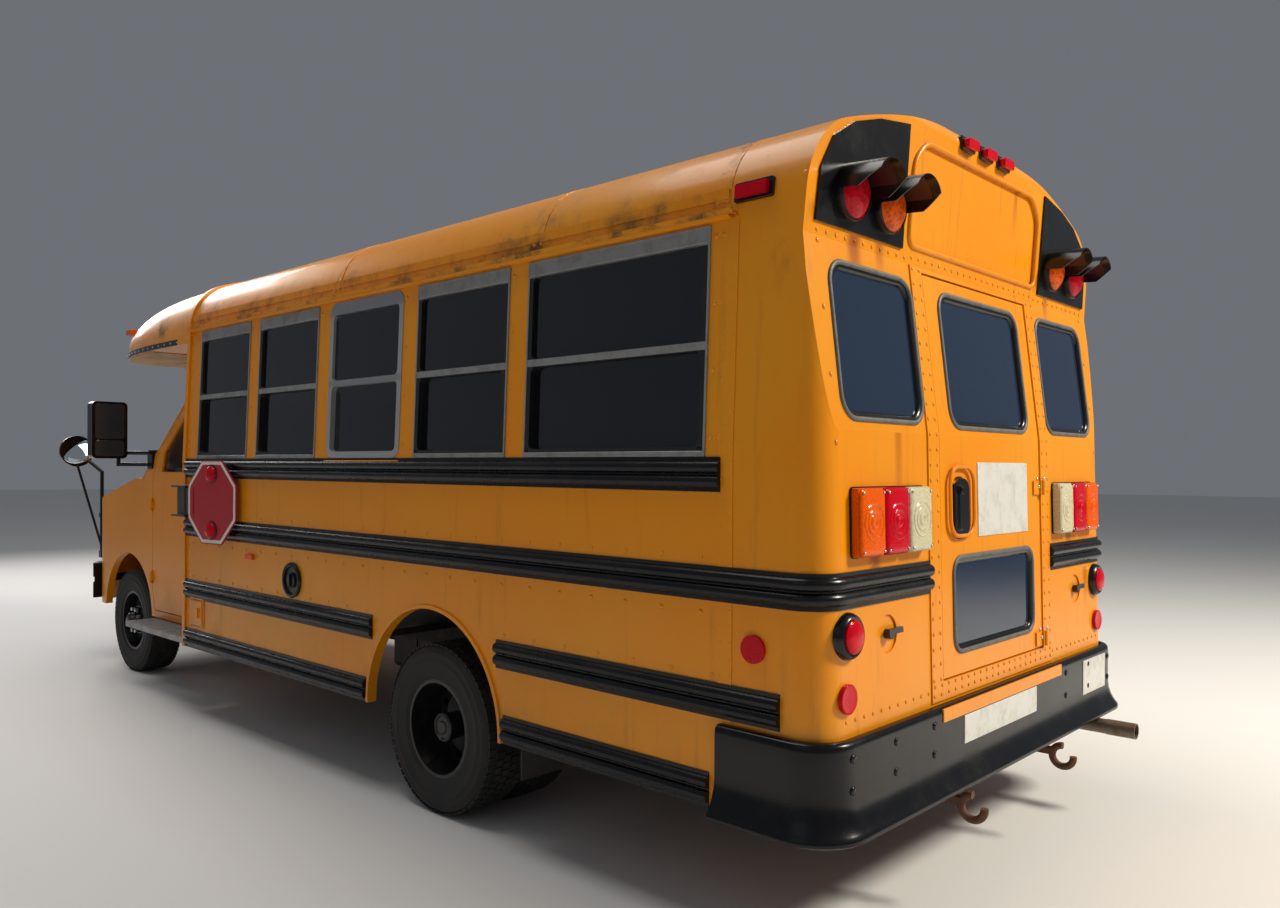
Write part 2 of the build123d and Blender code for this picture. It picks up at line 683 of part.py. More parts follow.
def cab_door():
    """Left cab door: skin as thick as the wall, window hole and an outside handle."""
    door = CAB_SOLID & prism_y(poly(*DOOR_SHAPE), 600, CAB_HALF + 50)
    inner = prism_x(cab_outline(DOOR_T, CAB_SILL_Z, CAB_TOP_Z + 20), CAB_BACK - 1, NOSE_X)
    door -= inner
    hole = prism_y(poly(*GLASS_SHAPE), 600, CAB_HALF + 50)
    door -= hole
    handle = sized(HANDLE_X, HANDLE_X + 160, CAB_HALF + FIT, CAB_HALF + 30, 1235, 1270)
    handle -= sized(HANDLE_X + 30, HANDLE_X + 130, CAB_HALF, CAB_HALF + 18, 1230, 1275)
    x, y = CAB_HINGE
    for z in CAB_HINGES_Z:
        door += hinge_barrel("Z", (x, y, z)) + sized(x - 22, x, CAB_HALF - 2, y, z, z + 40)
    return door + handle


def side_glass(shape):
    """A pane in the cab's left side wall, fitted to its hole."""
    layer = prism_x(cab_outline(14, CAB_SILL_Z, CAB_TOP_Z + 20), CAB_BACK, NOSE_X)
    layer -= prism_x(cab_outline(19, CAB_SILL_Z - 1, CAB_TOP_Z + 30), CAB_BACK - 1, NOSE_X + 1)
    return layer & prism_y(grown(shape, -FIT), 600, CAB_HALF)


def windscreen():
    """Windscreen and the fixed quarter pane between the entry and the right pillar."""
    screen = SCREEN_FACE * Pos(0, 0, -20) * panel(SCREEN_W, SCREEN_H, 8, 90)
    return screen + mirrored(side_glass(QUARTER_SHAPE))


def grille():
    """Framed grille with level bars."""
    x0, x1, y0, y1, z0, z1 = GRILLE_BOX
    frame = sized(x0, x1, y0, y1, z0, z1) - sized(x0 - 1, x1 + 1, y0 + 30, y1 - 30, z0 + 25, z1 - 25)
    pitch = (z1 - z0 - 50) / 5
    for i in range(1, 5):
        z = z0 + 25 + i * pitch
        frame += sized(x0 + 8, x1 - 8, y0 + 30, y1 - 30, z - 8, z + 8)
    return frame


def headlamps():
    x0, x1, y0, y1, z0, z1 = LAMP_BOX
    lens = CAB_SOLID & sized(x0, x1, y0, y1, z0, z1)
    lens &= prism_z(nose_plan(0), z0, z1) - prism_z(nose_plan(-SKIN_T + 1), z0 - 1, z1 + 1)
    return both(lens)


def front_bumper():
    """Wrapped bumper held to the frame by two brackets."""
    outer = prism_z(nose_plan(70), 480, 745)
    beam = outer - prism_z(nose_plan(2), 470, 760)
    beam &= sized(NOSE_X - 240, NOSE_X + 90, -CAB_HALF - 90, CAB_HALF + 90, 480, 745)
    groove = prism_z(nose_plan(90), 600, 640) - prism_z(nose_plan(60), 590, 650)
    horns = both(sized(NOSE_X - 180, NOSE_X + 4, RAIL_Y - 28, RAIL_Y + 28, 560, 700))
    return beam - groove + horns


def cap_outline(half, crown, low, inset):
    """Front roof cap section in (y, z): short sides, corner arcs and a roof arc."""
    w = half - inset
    top = crown - inset
    side = low + (top - low) * 0.42
    shoulder = (w * 0.70, side + (top - side) * 0.80)

    def left(p):
        return (-p[0], p[1])

    return [
        Line((-w, low), (w, low)),
        Line((w, low), (w, side)),
        ThreePointArc((w, side), (w * 0.955, side + (top - side) * 0.45), shoulder),
        ThreePointArc(shoulder, (0, top), left(shoulder)),
        ThreePointArc(left(shoulder), left((w * 0.955, side + (top - side) * 0.45)), (-w, side)),
        Line((-w, side), (-w, low)),
    ]


CAP_BACK_X = BODY_FRONT + HOOP_W
# Front roof cap sections: place, half width and crown height
CAP_SECTIONS = [
    {"x": CAP_BACK_X, "half": BODY_HALF - 37, "crown": CROWN_Z - 3},
    {"x": WHEELBASE - 889, "half": BODY_HALF - 54, "crown": 2738},
    {"x": WHEELBASE - 239, "half": 1062, "crown": 2600},
    {"x": WHEELBASE + 31, "half": 935, "crown": 2450},
    {"x": CAP_TIP_X, "half": 800, "crown": 2370},
]


def cap_block(inset, low):
    """The cap as a solid; an inset one starts behind it and stops short of its tip."""
    faces = []
    for row in CAP_SECTIONS:
        x = row["x"]
        if inset and x == CAP_TIP_X:
            x -= inset
        if inset and x == CAP_BACK_X:
            x -= 1
        outline = cap_outline(row["half"], row["crown"], low, inset)
        faces.append(Plane.YZ.offset(x) * make_face(outline))
    return loft(faces, ruled=True)


CAP_SOLID = cap_block(0, CAP_LOW_Z)


def front_cap():
    """Moulded roof cap that overhangs the windscreen: a shell over a thin ceiling, open behind."""
    return CAP_SOLID - cap_block(CAP_WALL, CAP_LOW_Z + 10)


def front_wall():
    """Body front: a hoop that stands proud of the skin and a bulkhead open to the cab."""
    hoop = body_block(-12, BODY_FRONT, BODY_FRONT + HOOP_W, SKIRT_Z)
    doorway = sized(BODY_FRONT - 5, BODY_FRONT + 60, -820, 820, FLOOR_Z, 2120)
    under = sized(BODY_FRONT - 5, BODY_FRONT + 60, -900, 900, SKIRT_Z - 5, FLOOR_Z - FLOOR_T)
    return hoop - doorway - under


def bus_floor():
    """Floor between the walls with a round housing over each pair of rear wheels."""
    half = BODY_HALF - WALL
    deck = sized(SEAM_X, BODY_FRONT, -half, half, FLOOR_Z - FLOOR_T, FLOOR_Z)
    rear = sized(REAR_X - 10, SEAM_X, -half, half, FLOOR_Z - FLOOR_T, FLOOR_Z) & REAR_HOLLOW
    deck += rear
    skin = 8
    top_part = sized(-600, 600, 500, half, FLOOR_Z - FLOOR_T, 1000)
    deck -= both(rod("Y", (0, 680, ARCH_Z), half - 680, ARCH_R + skin - 1))
    house = rod("Y", (0, 680, ARCH_Z), half - 680, ARCH_R + skin)
    house -= rod("Y", (0, 688, ARCH_Z), half - 680, ARCH_R)
    return deck + both(house & top_part)


def frame_rails():
    """Two channel rails, cross members and the outriggers that carry the body."""
    rails = sized(-1890, WHEELBASE + 661, RAIL_Y - 35, RAIL_Y + 35, RAIL_LOW_Z, RAIL_TOP_Z)
    rails -= sized(-1895, WHEELBASE + 666, RAIL_Y - 40, RAIL_Y + 27, RAIL_LOW_Z + 8, RAIL_TOP_Z - 8)
    frame = both(rails)
    for x in (-1500, -800, 800, 1600, BODY_FRONT - 100, WHEELBASE - 639):
        frame += sized(x - 35, x + 35, -RAIL_Y - 27, RAIL_Y + 27, RAIL_LOW_Z + 30, RAIL_TOP_Z - 30)
    for x in (-1400, 850, 1500, BODY_FRONT - 300):
        frame += both(sized(x - 25, x + 25, RAIL_Y + 35, 1150, RAIL_TOP_Z - 60, RAIL_TOP_Z))
    for x in (-1400, -650, 700, 1500, BODY_FRONT - 300):
        frame += both(sized(x - 40, x + 40, RAIL_Y - 35, RAIL_Y + 35, RAIL_TOP_Z, FLOOR_Z - FLOOR_T))
    return frame


def front_suspension():
    """Cross member under the engine with control arms, springs and their ball ends."""
    member = sized(WHEELBASE - 90, WHEELBASE + 90, -RAIL_Y - 60, RAIL_Y + 60, 400, RAIL_LOW_Z)
    arm = sized(WHEELBASE - 60, WHEELBASE + 60, RAIL_Y + 20, KNUCKLE_Y - 50, 290, 314)
    arm += sized(WHEELBASE - 60, WHEELBASE + 60, RAIL_Y + 20, RAIL_Y + 55, 300, 410)
    arm += sized(WHEELBASE - 40, WHEELBASE + 40, RAIL_Y + 40, KNUCKLE_Y - 50, 482, 506)
    for z in (LOWER_BALL_Z, UPPER_BALL_Z):
        arm += sized(WHEELBASE - 30, WHEELBASE + 30, KNUCKLE_Y - 60, KNUCKLE_Y, z - 10, z + 10)
        arm += rod("Z", (WHEELBASE, KNUCKLE_Y, z - 12), 24, 34)
    arm += rod("Z", (WHEELBASE, RAIL_Y + 100, 310), 180, 36)
    return member + both(arm)


def knuckle():
    """Steering knuckle between the two ball ends, with the wheel's spindle and brake disc."""
    low = LOWER_BALL_Z + 12 + RUN
    body = rod("Z", (WHEELBASE, KNUCKLE_Y, low), UPPER_BALL_Z - 12 - RUN - low, 32)
    spindle = rod("Y", (WHEELBASE, KNUCKLE_Y, TYRE_R), FRONT_AXLE_Y - KNUCKLE_Y + 60, SPINDLE_R)
    disc = rod("Y", (WHEELBASE, KNUCKLE_Y + 44, TYRE_R), 24, 150)
    arm = sized(WHEELBASE - 150, WHEELBASE - 20, KNUCKLE_Y - 18, KNUCKLE_Y + 18, 340, 366)
    return body + spindle + disc + arm


def rear_axle():
    """Axle beam with its round gear case, brake drums and two leaf spring packs."""
    inner_end = REAR_AXLE_Y - 60
    axle = rod("Y", (0, -inner_end, TYRE_R), 2 * inner_end, 52)
    axle += Pos(0, 0, TYRE_R) * Sphere(165)
    axle += rod("X", (120, 0, TYRE_R + 10), 120, 60)
    shaft = rod("X", (240, 0, TYRE_R + 10), GEARBOX_X - 240, 38)
    spindles = both(rod("Y", (0, inner_end - 1, TYRE_R), 190, SPINDLE_R))
    packs = Part()
    for i in range(4):
        half = 720 - 150 * i
        packs += sized(-half, half, 545, 620, SPRING_Z - 14 * (i + 1), SPRING_Z - 14 * i)
    packs += sized(-90, 90, 540, 625, TYRE_R, SPRING_Z - 56)
    for x in (-700, 700):
        packs += sized(x - 28, x + 28, RAIL_Y + 35, 620, SPRING_Z, SPRING_Z + 60)
    return axle + shaft + spindles + both(packs)


def tyre_outline():
    """Tyre section in (y, z): bead, bulged wall, shoulder and flat tread."""
    w = TYRE_W / 2
    wide_r = 288
    return [
        Line((-w + 22, BEAD_R), (w - 22, BEAD_R)),
        Line((w - 22, BEAD_R), (w - 22, BEAD_R + 16)),
        ThreePointArc((w - 22, BEAD_R + 16), (w, wide_r), (w - 14, TYRE_R - 18)),
        Line((w - 14, TYRE_R - 18), (w - 27, TYRE_R)),
        Line((w - 27, TYRE_R), (-w + 27, TYRE_R)),
        Line((-w + 27, TYRE_R), (-w + 14, TYRE_R - 18)),
        ThreePointArc((-w + 14, TYRE_R - 18), (-w, wide_r), (-w + 22, BEAD_R + 16)),
        Line((-w + 22, BEAD_R + 16), (-w + 22, BEAD_R)),
    ]


def ring(outline):
    """A section in (y, radius) turned about the wheel's axle."""
    return revolve(Plane.YZ * make_face(outline), axis=Axis.Y, revolution_arc=360)


def tyre():
    return ring(tyre_outline())


def rim(dish, out):
    """Steel wheel: barrel with flanges and a disc at a given offset towards the outside."""
    r = BEAD_R - FIT
    w = TYRE_W / 2 - 22
    edge = w + 8
    seat = w + FIT
    barrel = ring(
        poly(
            (-edge, r - 12),
            (edge, r - 12),
            (edge, r + 12),
            (seat, r + 12),
            (seat, r),
            (-seat, r),
            (-seat, r + 12),
            (-edge, r + 12),
        )
    )
    foot = dish - out * 45
    disc = ring(
        poly(
            (dish, SPINDLE_R + RUN),
            (dish, 100),
            (foot, 150),
            (foot, r - 11),
            (foot - out * 12, r - 11),
            (foot - out * 12, 146),
            (dish - out * 14, 96),
            (dish - out * 14, SPINDLE_R + RUN),
        )
    )
    for i in range(8):
        turn = Rot(0, i * 45 + 22.5, 0)
        disc -= turn * rod("Y", (168, -w - 20, 0), 2 * w + 40, 19)
        disc += turn * rod("Y", (0, dish - 16 if out > 0 else dish - 22, 83), 38, 12)
    return barrel + disc


def front_wheel_rim():
    hub = tube("Y", (0, -20, 0), 96, 62, SPINDLE_R + RUN) + rod("Y", (0, 76, 0), 14, 48)
    return rim(62, 1) + hub


def rear_wheel_rims():
    """Twin rims back to back on one hub, dished in on the outside."""
    outer = Pos(0, TWIN_PITCH / 2, 0) * rim(-TWIN_PITCH / 2 + 15, -1)
    inner = Pos(0, -TWIN_PITCH / 2, 0) * rim(TWIN_PITCH / 2 - 16, 1)
    hub = tube("Y", (0, -30, 0), 190, 58, SPINDLE_R + RUN) + rod("Y", (0, 160, 0), 12, 52)
    return outer + inner + hub


def at_wheel(x, y, shape):
    return Pos(x, y, TYRE_R) * shape


def engine_block():
    """Engine and gearbox as plain blocks on the front cross member."""
    engine = sized(ENGINE_X, WHEELBASE + 581, -270, 270, RAIL_LOW_Z, 1130)
    return engine + sized(GEARBOX_X, ENGINE_X, -120, 120, 330, 545)


def fuel_tank():
    inner_y = 70
    outer_y = 380
    low_z = 300
    top_z = 540
    tank = sized(560, 1560, inner_y, outer_y, low_z, top_z)
    tank = fillet(tank.edges().filter_by(Axis.X), 40)
    for x in (690, 1340):
        tank += sized(x - 20, x + 20, inner_y - 6, outer_y + 6, low_z - 6, top_z + 6)
        tank += sized(x - 20, x + 20, outer_y - 50, RAIL_Y - 35, RAIL_LOW_Z, top_z + 6)
    return tank


def exhaust():
    """Silencer between the rails and a tailpipe that leaves under the bumper on the right."""
    pipe = 30
    y = -300
    z = 470
    tail_y = -930
    tail_z = 360
    head_x = ENGINE_X - 40
    box = rod("X", (1500, y, z - 30), 600, 88)
    box += sized(1588, 1612, y - 12, y + 12, z, RAIL_LOW_Z + 30)
    run = bar((head_x, y, z), (-1150, y, z), pipe) + Pos(head_x, y, z) * Sphere(pipe)
    run += bar((head_x, y, z), (head_x, -240, 600), pipe) + Pos(head_x, -240, 600) * Sphere(pipe)
    run += bar((head_x, -240, 600), (ENGINE_X, -240, 600), pipe)
    out = Pos(-1150, y, z) * Sphere(pipe) + bar((-1150, y, z), (-1650, tail_y, tail_z), pipe)
    out += Pos(-1650, tail_y, tail_z) * Sphere(pipe)
    out += sized(-1412, -1388, -627, -603, 415, RAIL_TOP_Z - 60)
    tail = bar((-1650, tail_y, tail_z), (TAILPIPE_END_X, tail_y, tail_z), pipe + 2)
    tail += rod("X", (TAILPIPE_END_X, tail_y, tail_z), 120, pipe + 4)
    tail -= bar((-1900, tail_y, tail_z), (TAILPIPE_END_X - 5, tail_y, tail_z), pipe - 2)
    return box + run + out + tail


def entry_steps():
    """Entry well: two steps, their risers and side cheeks, down from the cab's floor."""
    x0 = ENTRY_BACK_X - 30
    x1 = ENTRY_POST_X + 5
    edge = ENTRY_Y + 6
    well = sized(x0, x1, edge, -866, STEP_ONE_Z - 20, STEP_ONE_Z)
    well += sized(x0, x1, -872, -866, STEP_ONE_Z - 20, STEP_TWO_Z)
    well += sized(x0, x1, -872, WELL_Y - 1, STEP_TWO_Z - 20, STEP_TWO_Z)
    well += sized(x0, x1, WELL_Y - 7, WELL_Y - 1, STEP_TWO_Z - 20, CAB_FLOOR_Z)
    cheek = [(edge, STEP_ONE_Z - 20), (edge, CAB_FLOOR_Z), (WELL_Y - 1, CAB_FLOOR_Z),
             (WELL_Y - 1, STEP_TWO_Z - 20), (-872, STEP_TWO_Z - 20), (-872, STEP_ONE_Z - 20)]
    for x in (x0, x1 - 8):
        well += prism_x(poly(*cheek), x, x + 8)
    return well


def entry_frame():
    """Posts and header round the entry, with a panel that joins the front post to the cab."""
    out = ENTRY_Y - ENTRY_T - 4
    front_x = ENTRY_POST_X + 35
    low = STEP_ONE_Z - 20
    post = sized(ENTRY_POST_X + 5, front_x, out, -820, low, CAB_TOP_Z)
    back = sized(CAP_BACK_X, ENTRY_BACK_X - 6, out, -1000, low, CAB_TOP_Z)
    head = sized(CAP_BACK_X, front_x, out, -820, ENTRY_TOP_Z + GAP, CAB_TOP_Z)
    frame = post + back + head + entry_steps()
    y = ENTRY_PIVOT_Y
    for x, away in ((ENTRY_BACK_X - 2, -1), (ENTRY_POST_X + 2, 1)):
        for z in ENTRY_HINGES_Z:
            frame += hinge_ears("Z", (x, y, z))
            for low in (z - GAP - HINGE_EAR, z + 40 + GAP):
                web = sized(x, x + 24 * away, y, out + 2, low, low + HINGE_EAR)
                frame += web - rod("Z", (x, y, low - 1), HINGE_EAR + 2, PIN_R)
    return frame


def entry_leaf(x0, x1, pivot_x):
    """One leaf of the entry door, hung at its outer edge."""
    leaf = sized(x0, x1, ENTRY_Y - ENTRY_T, ENTRY_Y, ENTRY_LOW_Z, ENTRY_TOP_Z)
    low = ENTRY_LOW_Z + LEAF_FOOT
    top = ENTRY_TOP_Z - LEAF_HEAD
    leaf -= sized(x0 + LEAF_EDGE, x1 - LEAF_EDGE, ENTRY_Y - 60, ENTRY_Y + 20, low, top)
    y = ENTRY_PIVOT_Y
    inward = 24 if pivot_x < x0 else -24
    for z in ENTRY_HINGES_Z:
        leaf += hinge_barrel("Z", (pivot_x, y, z))
        leaf += sized(pivot_x, pivot_x + inward, y, ENTRY_Y - ENTRY_T + 2, z, z + 40)
    return leaf


def entry_glass(x0, x1):
    middle = ENTRY_Y - ENTRY_T / 2
    low = ENTRY_LOW_Z + LEAF_FOOT + FIT
    top = ENTRY_TOP_Z - LEAF_HEAD - FIT
    return sized(x0 + LEAF_EDGE + FIT, x1 - LEAF_EDGE - FIT, middle - 3, middle + 3, low, top)


ENTRY_MIDDLE = (ENTRY_BACK_X + ENTRY_POST_X) / 2
ENTRY_LEAVES = [
    {
        "place": "rear",
        "x0": ENTRY_BACK_X + GAP,
        "x1": ENTRY_MIDDLE - LEAF_GAP / 2,
        "pivot": ENTRY_BACK_X - 2,
    },
    {
        "place": "front",
        "x0": ENTRY_MIDDLE + LEAF_GAP / 2,
        "x1": ENTRY_POST_X - GAP,
        "pivot": ENTRY_POST_X + 2,
    },
]

DOOR_HINGES = (802, 1425)
HINGE_OUT = 15


def emergency_door():
    """Rear door as thick as the wall and bent like it, with lights, handle cup and hinges."""
    leaf = REAR_SHELL & door_slab(0, 0, REAR_X - 50, REAR_X + 250)
    leaf -= UPPER_FACE * Pos(0, 0, -2 * WALL) * light_plate(UPPER_LIGHT, 4 * WALL)
    leaf -= REAR_FACE * Pos(0, 0, -2 * WALL) * light_plate(LOWER_LIGHT, 4 * WALL)
    extras = Part() + Pos(-300, 1362, -15) * panel(34, 180, 26, 8)
    for z in DOOR_HINGES:
        barrel = Rot(-90, 0, 0) * Cylinder(10, 60)
        extras += Pos(DOOR_HALF + 3, z, HINGE_OUT) * barrel
        extras += Pos(DOOR_HALF - 36, z, 0) * panel(66, 56, 7)
        extras += Pos(DOOR_HALF - 6, z, 0) * panel(18, 56, HINGE_OUT)
    cup = REAR_FACE * Pos(-300, 1362, -15) * panel(112, 226, 40, 50)
    return leaf - cup + REAR_FACE * extras


def light_seal(light, side=1):
    """Rubber gasket round a rear light: outer lip and the neck in the wall's hole."""
    hole = Pos(0, 0, -20) * light_plate(light, 60, -11, side)
    lip = light_plate(light, 7, 20, side)
    neck = Pos(0, 0, -9) * light_plate(light, 10, -FIT, side)
    return lip + neck - hole


def light_pane(light, side=1):
    return Pos(0, 0, -16) * light_plate(light, 6, -FIT, side)


def rear_seals():
    return union(UPPER_FACE * light_seal(SIDE_LIGHT, side) for side in (1, -1))


def rear_panes():
    return union(UPPER_FACE * light_pane(SIDE_LIGHT, side) for side in (1, -1))


def emergency_seals():
    return union([UPPER_FACE * light_seal(UPPER_LIGHT), REAR_FACE * light_seal(LOWER_LIGHT)])


def emergency_glass():
    return union([UPPER_FACE * light_pane(UPPER_LIGHT), REAR_FACE * light_pane(LOWER_LIGHT)])


def drip_rails():
    """Gutter over the side windows with a second lip, from the hoop to the rear seam."""
    low = GUTTER_Z - 22
    y = body_half(low)
    outline = poly(
        (y - 12, low),
        (y + 30, low),
        (y + 34, low + 16),
        (y + 26, low + 16),
        (y + 24, low + 8),
        (y - 12, low + 8),
    )
    lip = prism_x(outline, SEAM_X - 40, BODY_FRONT)
    return both(lip - body_block(0, SEAM_X - 60, BODY_FRONT + 1, SKIRT_Z))


def bumper_plan(grow):
    """Bumper plan in (x, y): parallel to the rear cap, out by a distance."""
    back = REAR_X - grow
    half = BODY_HALF + grow
    r = REAR_CORNER_R + grow
    bend = r * math.sqrt(0.5)
    cx = back + r
    cy = half - r
    return [
        Line((BUMPER_FRONT_X, -half), (BUMPER_FRONT_X, half)),
        Line((BUMPER_FRONT_X, half), (cx, half)),
        ThreePointArc((cx, half), (cx - bend, cy + bend), (back, cy)),
        Line((back, cy), (back, -cy)),
        ThreePointArc((back, -cy), (cx - bend, -cy - bend), (cx, -half)),
        Line((cx, -half), (BUMPER_FRONT_X, -half)),
    ]


def rear_bumper():
    """Deep wrapped bumper: upright band with a flared lower lip, hollow behind."""
    low = BUMPER_LOW_Z + 22
    high = BUMPER_LOW_Z + 90
    band = prism_z(bumper_plan(34), high, BUMPER_TOP_Z)
    wide = Plane.XY.offset(low) * make_face(bumper_plan(78))
    narrow = Plane.XY.offset(high) * make_face(bumper_plan(34))
    flare = loft([wide, narrow], ruled=True)
    foot = prism_z(bumper_plan(78), BUMPER_LOW_Z, low)
    hollow = prism_z(bumper_plan(0), BUMPER_LOW_Z - 1, BUMPER_TOP_Z + 1)
    return band + flare + foot - hollow


def tow_hooks():
    """Two open hooks under the bumper, on stems from the frame."""
    x = -2060
    y = 420
    z = 335
    hook = Pos(x, y, z) * Rot(90, 0, 0) * Torus(42, 14)
    hook -= sized(x - 70, x, y - 30, y + 30, z + 5, z + 60)
    hook += sized(x + 34, -1860, y - 14, y + 14, z, z + 28)
    hook += sized(-1890, -1860, y - 20, y + 20, z, RAIL_LOW_Z)
    return both(hook)


def hood_visor(radius, depth):
    """Half-round hood over a warning lamp, in the head's own frame."""
    shell = Cylinder(radius + 10, depth, align=BASE)
    shell -= Cylinder(radius + 6, depth + 1, align=BASE)
    keep = Pos(0, radius * 0.72, depth / 2) * Box(2.4 * radius, radius * 1.5, depth + 2)
    slope = Pos(0, -radius * 0.5, depth * 0.95) * Rot(-38, 0, 0) * Box(3 * radius, radius * 1.6, depth)
    return (shell & keep) - slope


def lamp_place(row, side, depth):
    return HEAD_FACE * Pos(-side * row["y"], row["z"] - HEAD_Z, depth)


def front_lamp_place(row, side):
    """Front warning lamps stand on the roof cap's brow, facing forward."""
    return Plane(origin=(FRONT_LAMP_X, side * row, FRONT_LAMP_Z), x_dir=(0, 1, 0), z_dir=(1, 0, 0)).location


def dome(radius, depth):
    """A lens with a spherical front."""
    ball_r = (radius**2 + depth**2) / (2 * depth)
    ball = Pos(0, 0, depth - ball_r) * Sphere(ball_r)
    return ball & Pos(0, 0, depth / 2) * Box(2 * radius + 2, 2 * radius + 2, depth)


def warning_lamps():
    """Eight domed lamps: four on the rear head and four on the roof cap's brow."""
    lens = Cylinder(LAMP_R, 20, align=BASE) + Pos(0, 0, 20) * dome(LAMP_R - 2, 34)
    lamps = []
    for side in (1, -1):
        lamps += [lamp_place(row, side, PANEL_T) * lens for row in WARNING_LAMPS]
        lamps += [front_lamp_place(y, side) * lens for y in FRONT_LAMPS_Y]
    return union(lamps)


# Rear lamp board corners in (y, z), inner low first
LAMP_BOARD = [
    (598, 2258),
    (1140, 2258),
    (1128, 2420),
    (1065, 2530),
    (950, 2600),
    (800, 2646),
    (602, 2678),
]


def lamp_hoods():
    """Black hoods over the warning lamps."""
    rear = hood_visor(LAMP_R, 150)
    front = hood_visor(LAMP_R, 110)
    hoods = []
    for side in (1, -1):
        hoods += [lamp_place(row, side, PANEL_T) * rear for row in WARNING_LAMPS]
        hoods += [front_lamp_place(y, side) * front for y in FRONT_LAMPS_Y]
    return union(hoods)


def lamp_panels():
    """Black boards behind the rear warning lamps, their outer edge along the roof's round."""
    left = [(-y, z - HEAD_Z) for y, z in LAMP_BOARD]
    shape = HEAD_FACE * extrude(make_face(poly(*left)), amount=PANEL_T)
    pads = Part()
    for y in FRONT_LAMPS_Y:
        z = FRONT_LAMP_Z
        pads += sized(FRONT_LAMP_X - 130, FRONT_LAMP_X, y - 100, y + 100, z - 95, z + 95)
    pads -= CAP_SOLID
    return both(shape) + both(pads)


def tail_lamps():
    """Three-part tail lamps and the round stop lamps and reflectors below."""
    lamps = Part()
    for side in (1, -1):
        for y in (660, 817, 973):
            lamps += REAR_FACE * Pos(-side * y, 1335, 0) * panel(152, 214, 30, 14)
        lamps += REAR_FACE * Pos(-side * 1078, 993, 0) * Cylinder(52, 26, align=BASE)
        lamps += REAR_FACE * Pos(-side * 1090, 806, 0) * Cylinder(44, 12, align=BASE)
    lamps += both(rod("Y", (-1715, BODY_HALF, 941), 12, 44))
    return lamps - REAR_SOLID


def marker_lamps():
    """Small clearance lamps: three at the rear crown, side pairs, and three on the front cap."""
    crown = HEAD_FACE * Pos(0, CROWN_LAMPS_Z - HEAD_Z, -30) * panel(88, 34, 62, 8)
    lamps = union(Pos(0, y, 0) * crown for y in (-160, 0, 160)) - REAR_SOLID
    wall_y = body_half(2352)
    lamps += both(sized(-1745, -1625, wall_y - 30, wall_y + 26, 2352, 2392)) - REAR_SOLID
    lamps += both(sized(BODY_FRONT - 880, BODY_FRONT - 800, BODY_HALF, BODY_HALF + 16, 990, 1016))
    lamps += both(sized(WHEELBASE - 339, WHEELBASE - 239, 900, 1110, 2400, 2435)) - CAP_SOLID
    brow = (WHEELBASE - 94, WHEELBASE - 39)
    lamps += union(sized(*brow, y - 45, y + 45, 2470, 2548) for y in (-160, 0, 160)) - CAP_SOLID
    return lamps


def mirrors():
    """Flat side mirrors on two arms and round cross-view mirrors on bent tubes."""
    x = WHEELBASE - 294
    head = sized(x, x + 90, 1118, 1345, 1540, 1930)
    head = fillet(head.edges().filter_by(Axis.X), 30)
    arm = bar((x - 55, 962, 1500), (x + 45, 1160, 1500), 13)
    arm += bar((x - 95, 962, 1580), (x + 45, 1130, 1580), 13)
    arm += rod("Z", (x + 45, 1160, 1487), 80, 13) + sized(x - 120, x - 40, 955, 1000, 1470, 1600)
    bowl = Pos(BOWL["x"], BOWL["y"], BOWL["z"]) * Rot(0, 90, 0) * dome(BOWL["r"], BOWL["deep"])
    bowl += rod("X", (BOWL["x"] - 20, BOWL["y"], BOWL["z"]), 22, BOWL["r"])
    x = BOWL["x"] - 200
    post = bar((x, 965, 800), (x, 965, 1440), 13) + Pos(x, 965, 1440) * Sphere(13)
    post += bar((x, 965, 1440), (BOWL["x"] - 12, BOWL["y"], BOWL["z"]), 13)
    post += bar((x, 965, 860), (BOWL["x"] - 12, BOWL["y"], BOWL["z"] - 90), 9)
    post += sized(x - 25, x + 25, 900, 978, 780, 830) + sized(x - 25, x + 25, 900, 978, 1090, 1125)
    return both(head + arm + bowl + post - CAB_SOLID)


def running_board():
    """Treaded step under the left cab door, carried by two brackets from the frame."""
    board = sized(BODY_FRONT + 100, WHEELBASE - 479, 960, 1190, 405, 440)
    web_y = RAIL_Y + 35
    for x in (BODY_FRONT + 250, WHEELBASE - 739):
        board += sized(x - 25, x + 25, web_y, 1100, 380, 405)
        board += sized(x - 25, x + 25, web_y, web_y + 25, 380, RAIL_LOW_Z + 90)
    return board


def mud_flaps():
    """Rubber flaps behind the rear wheels, hung from the floor."""
    return both(sized(-545, -535, 720, 1160, 260, FLOOR_Z - FLOOR_T))


def fittings():
    """Filler cup and the small hatch on the left side, and the two small rear latches."""
    centre = (BODY_FRONT - 1305, BODY_HALF, 914)
    cup = tube("Y", centre, 9, 88, 70) + rod("Y", centre, 4, 71)
    x = BODY_FRONT - 238
    hatch = sized(x, x + 168, BODY_HALF, BODY_HALF + 8, 552, 700)
    hatch += sized(x + 38, x + 63, BODY_HALF + 7, BODY_HALF + 22, 600, 655)
    latches = Part()
    for side in (1, -1):
        y, z = REAR_LATCH
        latches += REAR_FACE * Pos(side * y, z, -6) * Cylinder(16, 24, align=BASE)
        latches += REAR_FACE * Pos(side * y + 28, z + 8, 12) * Box(90, 18, 12)
    return cup + hatch + latches


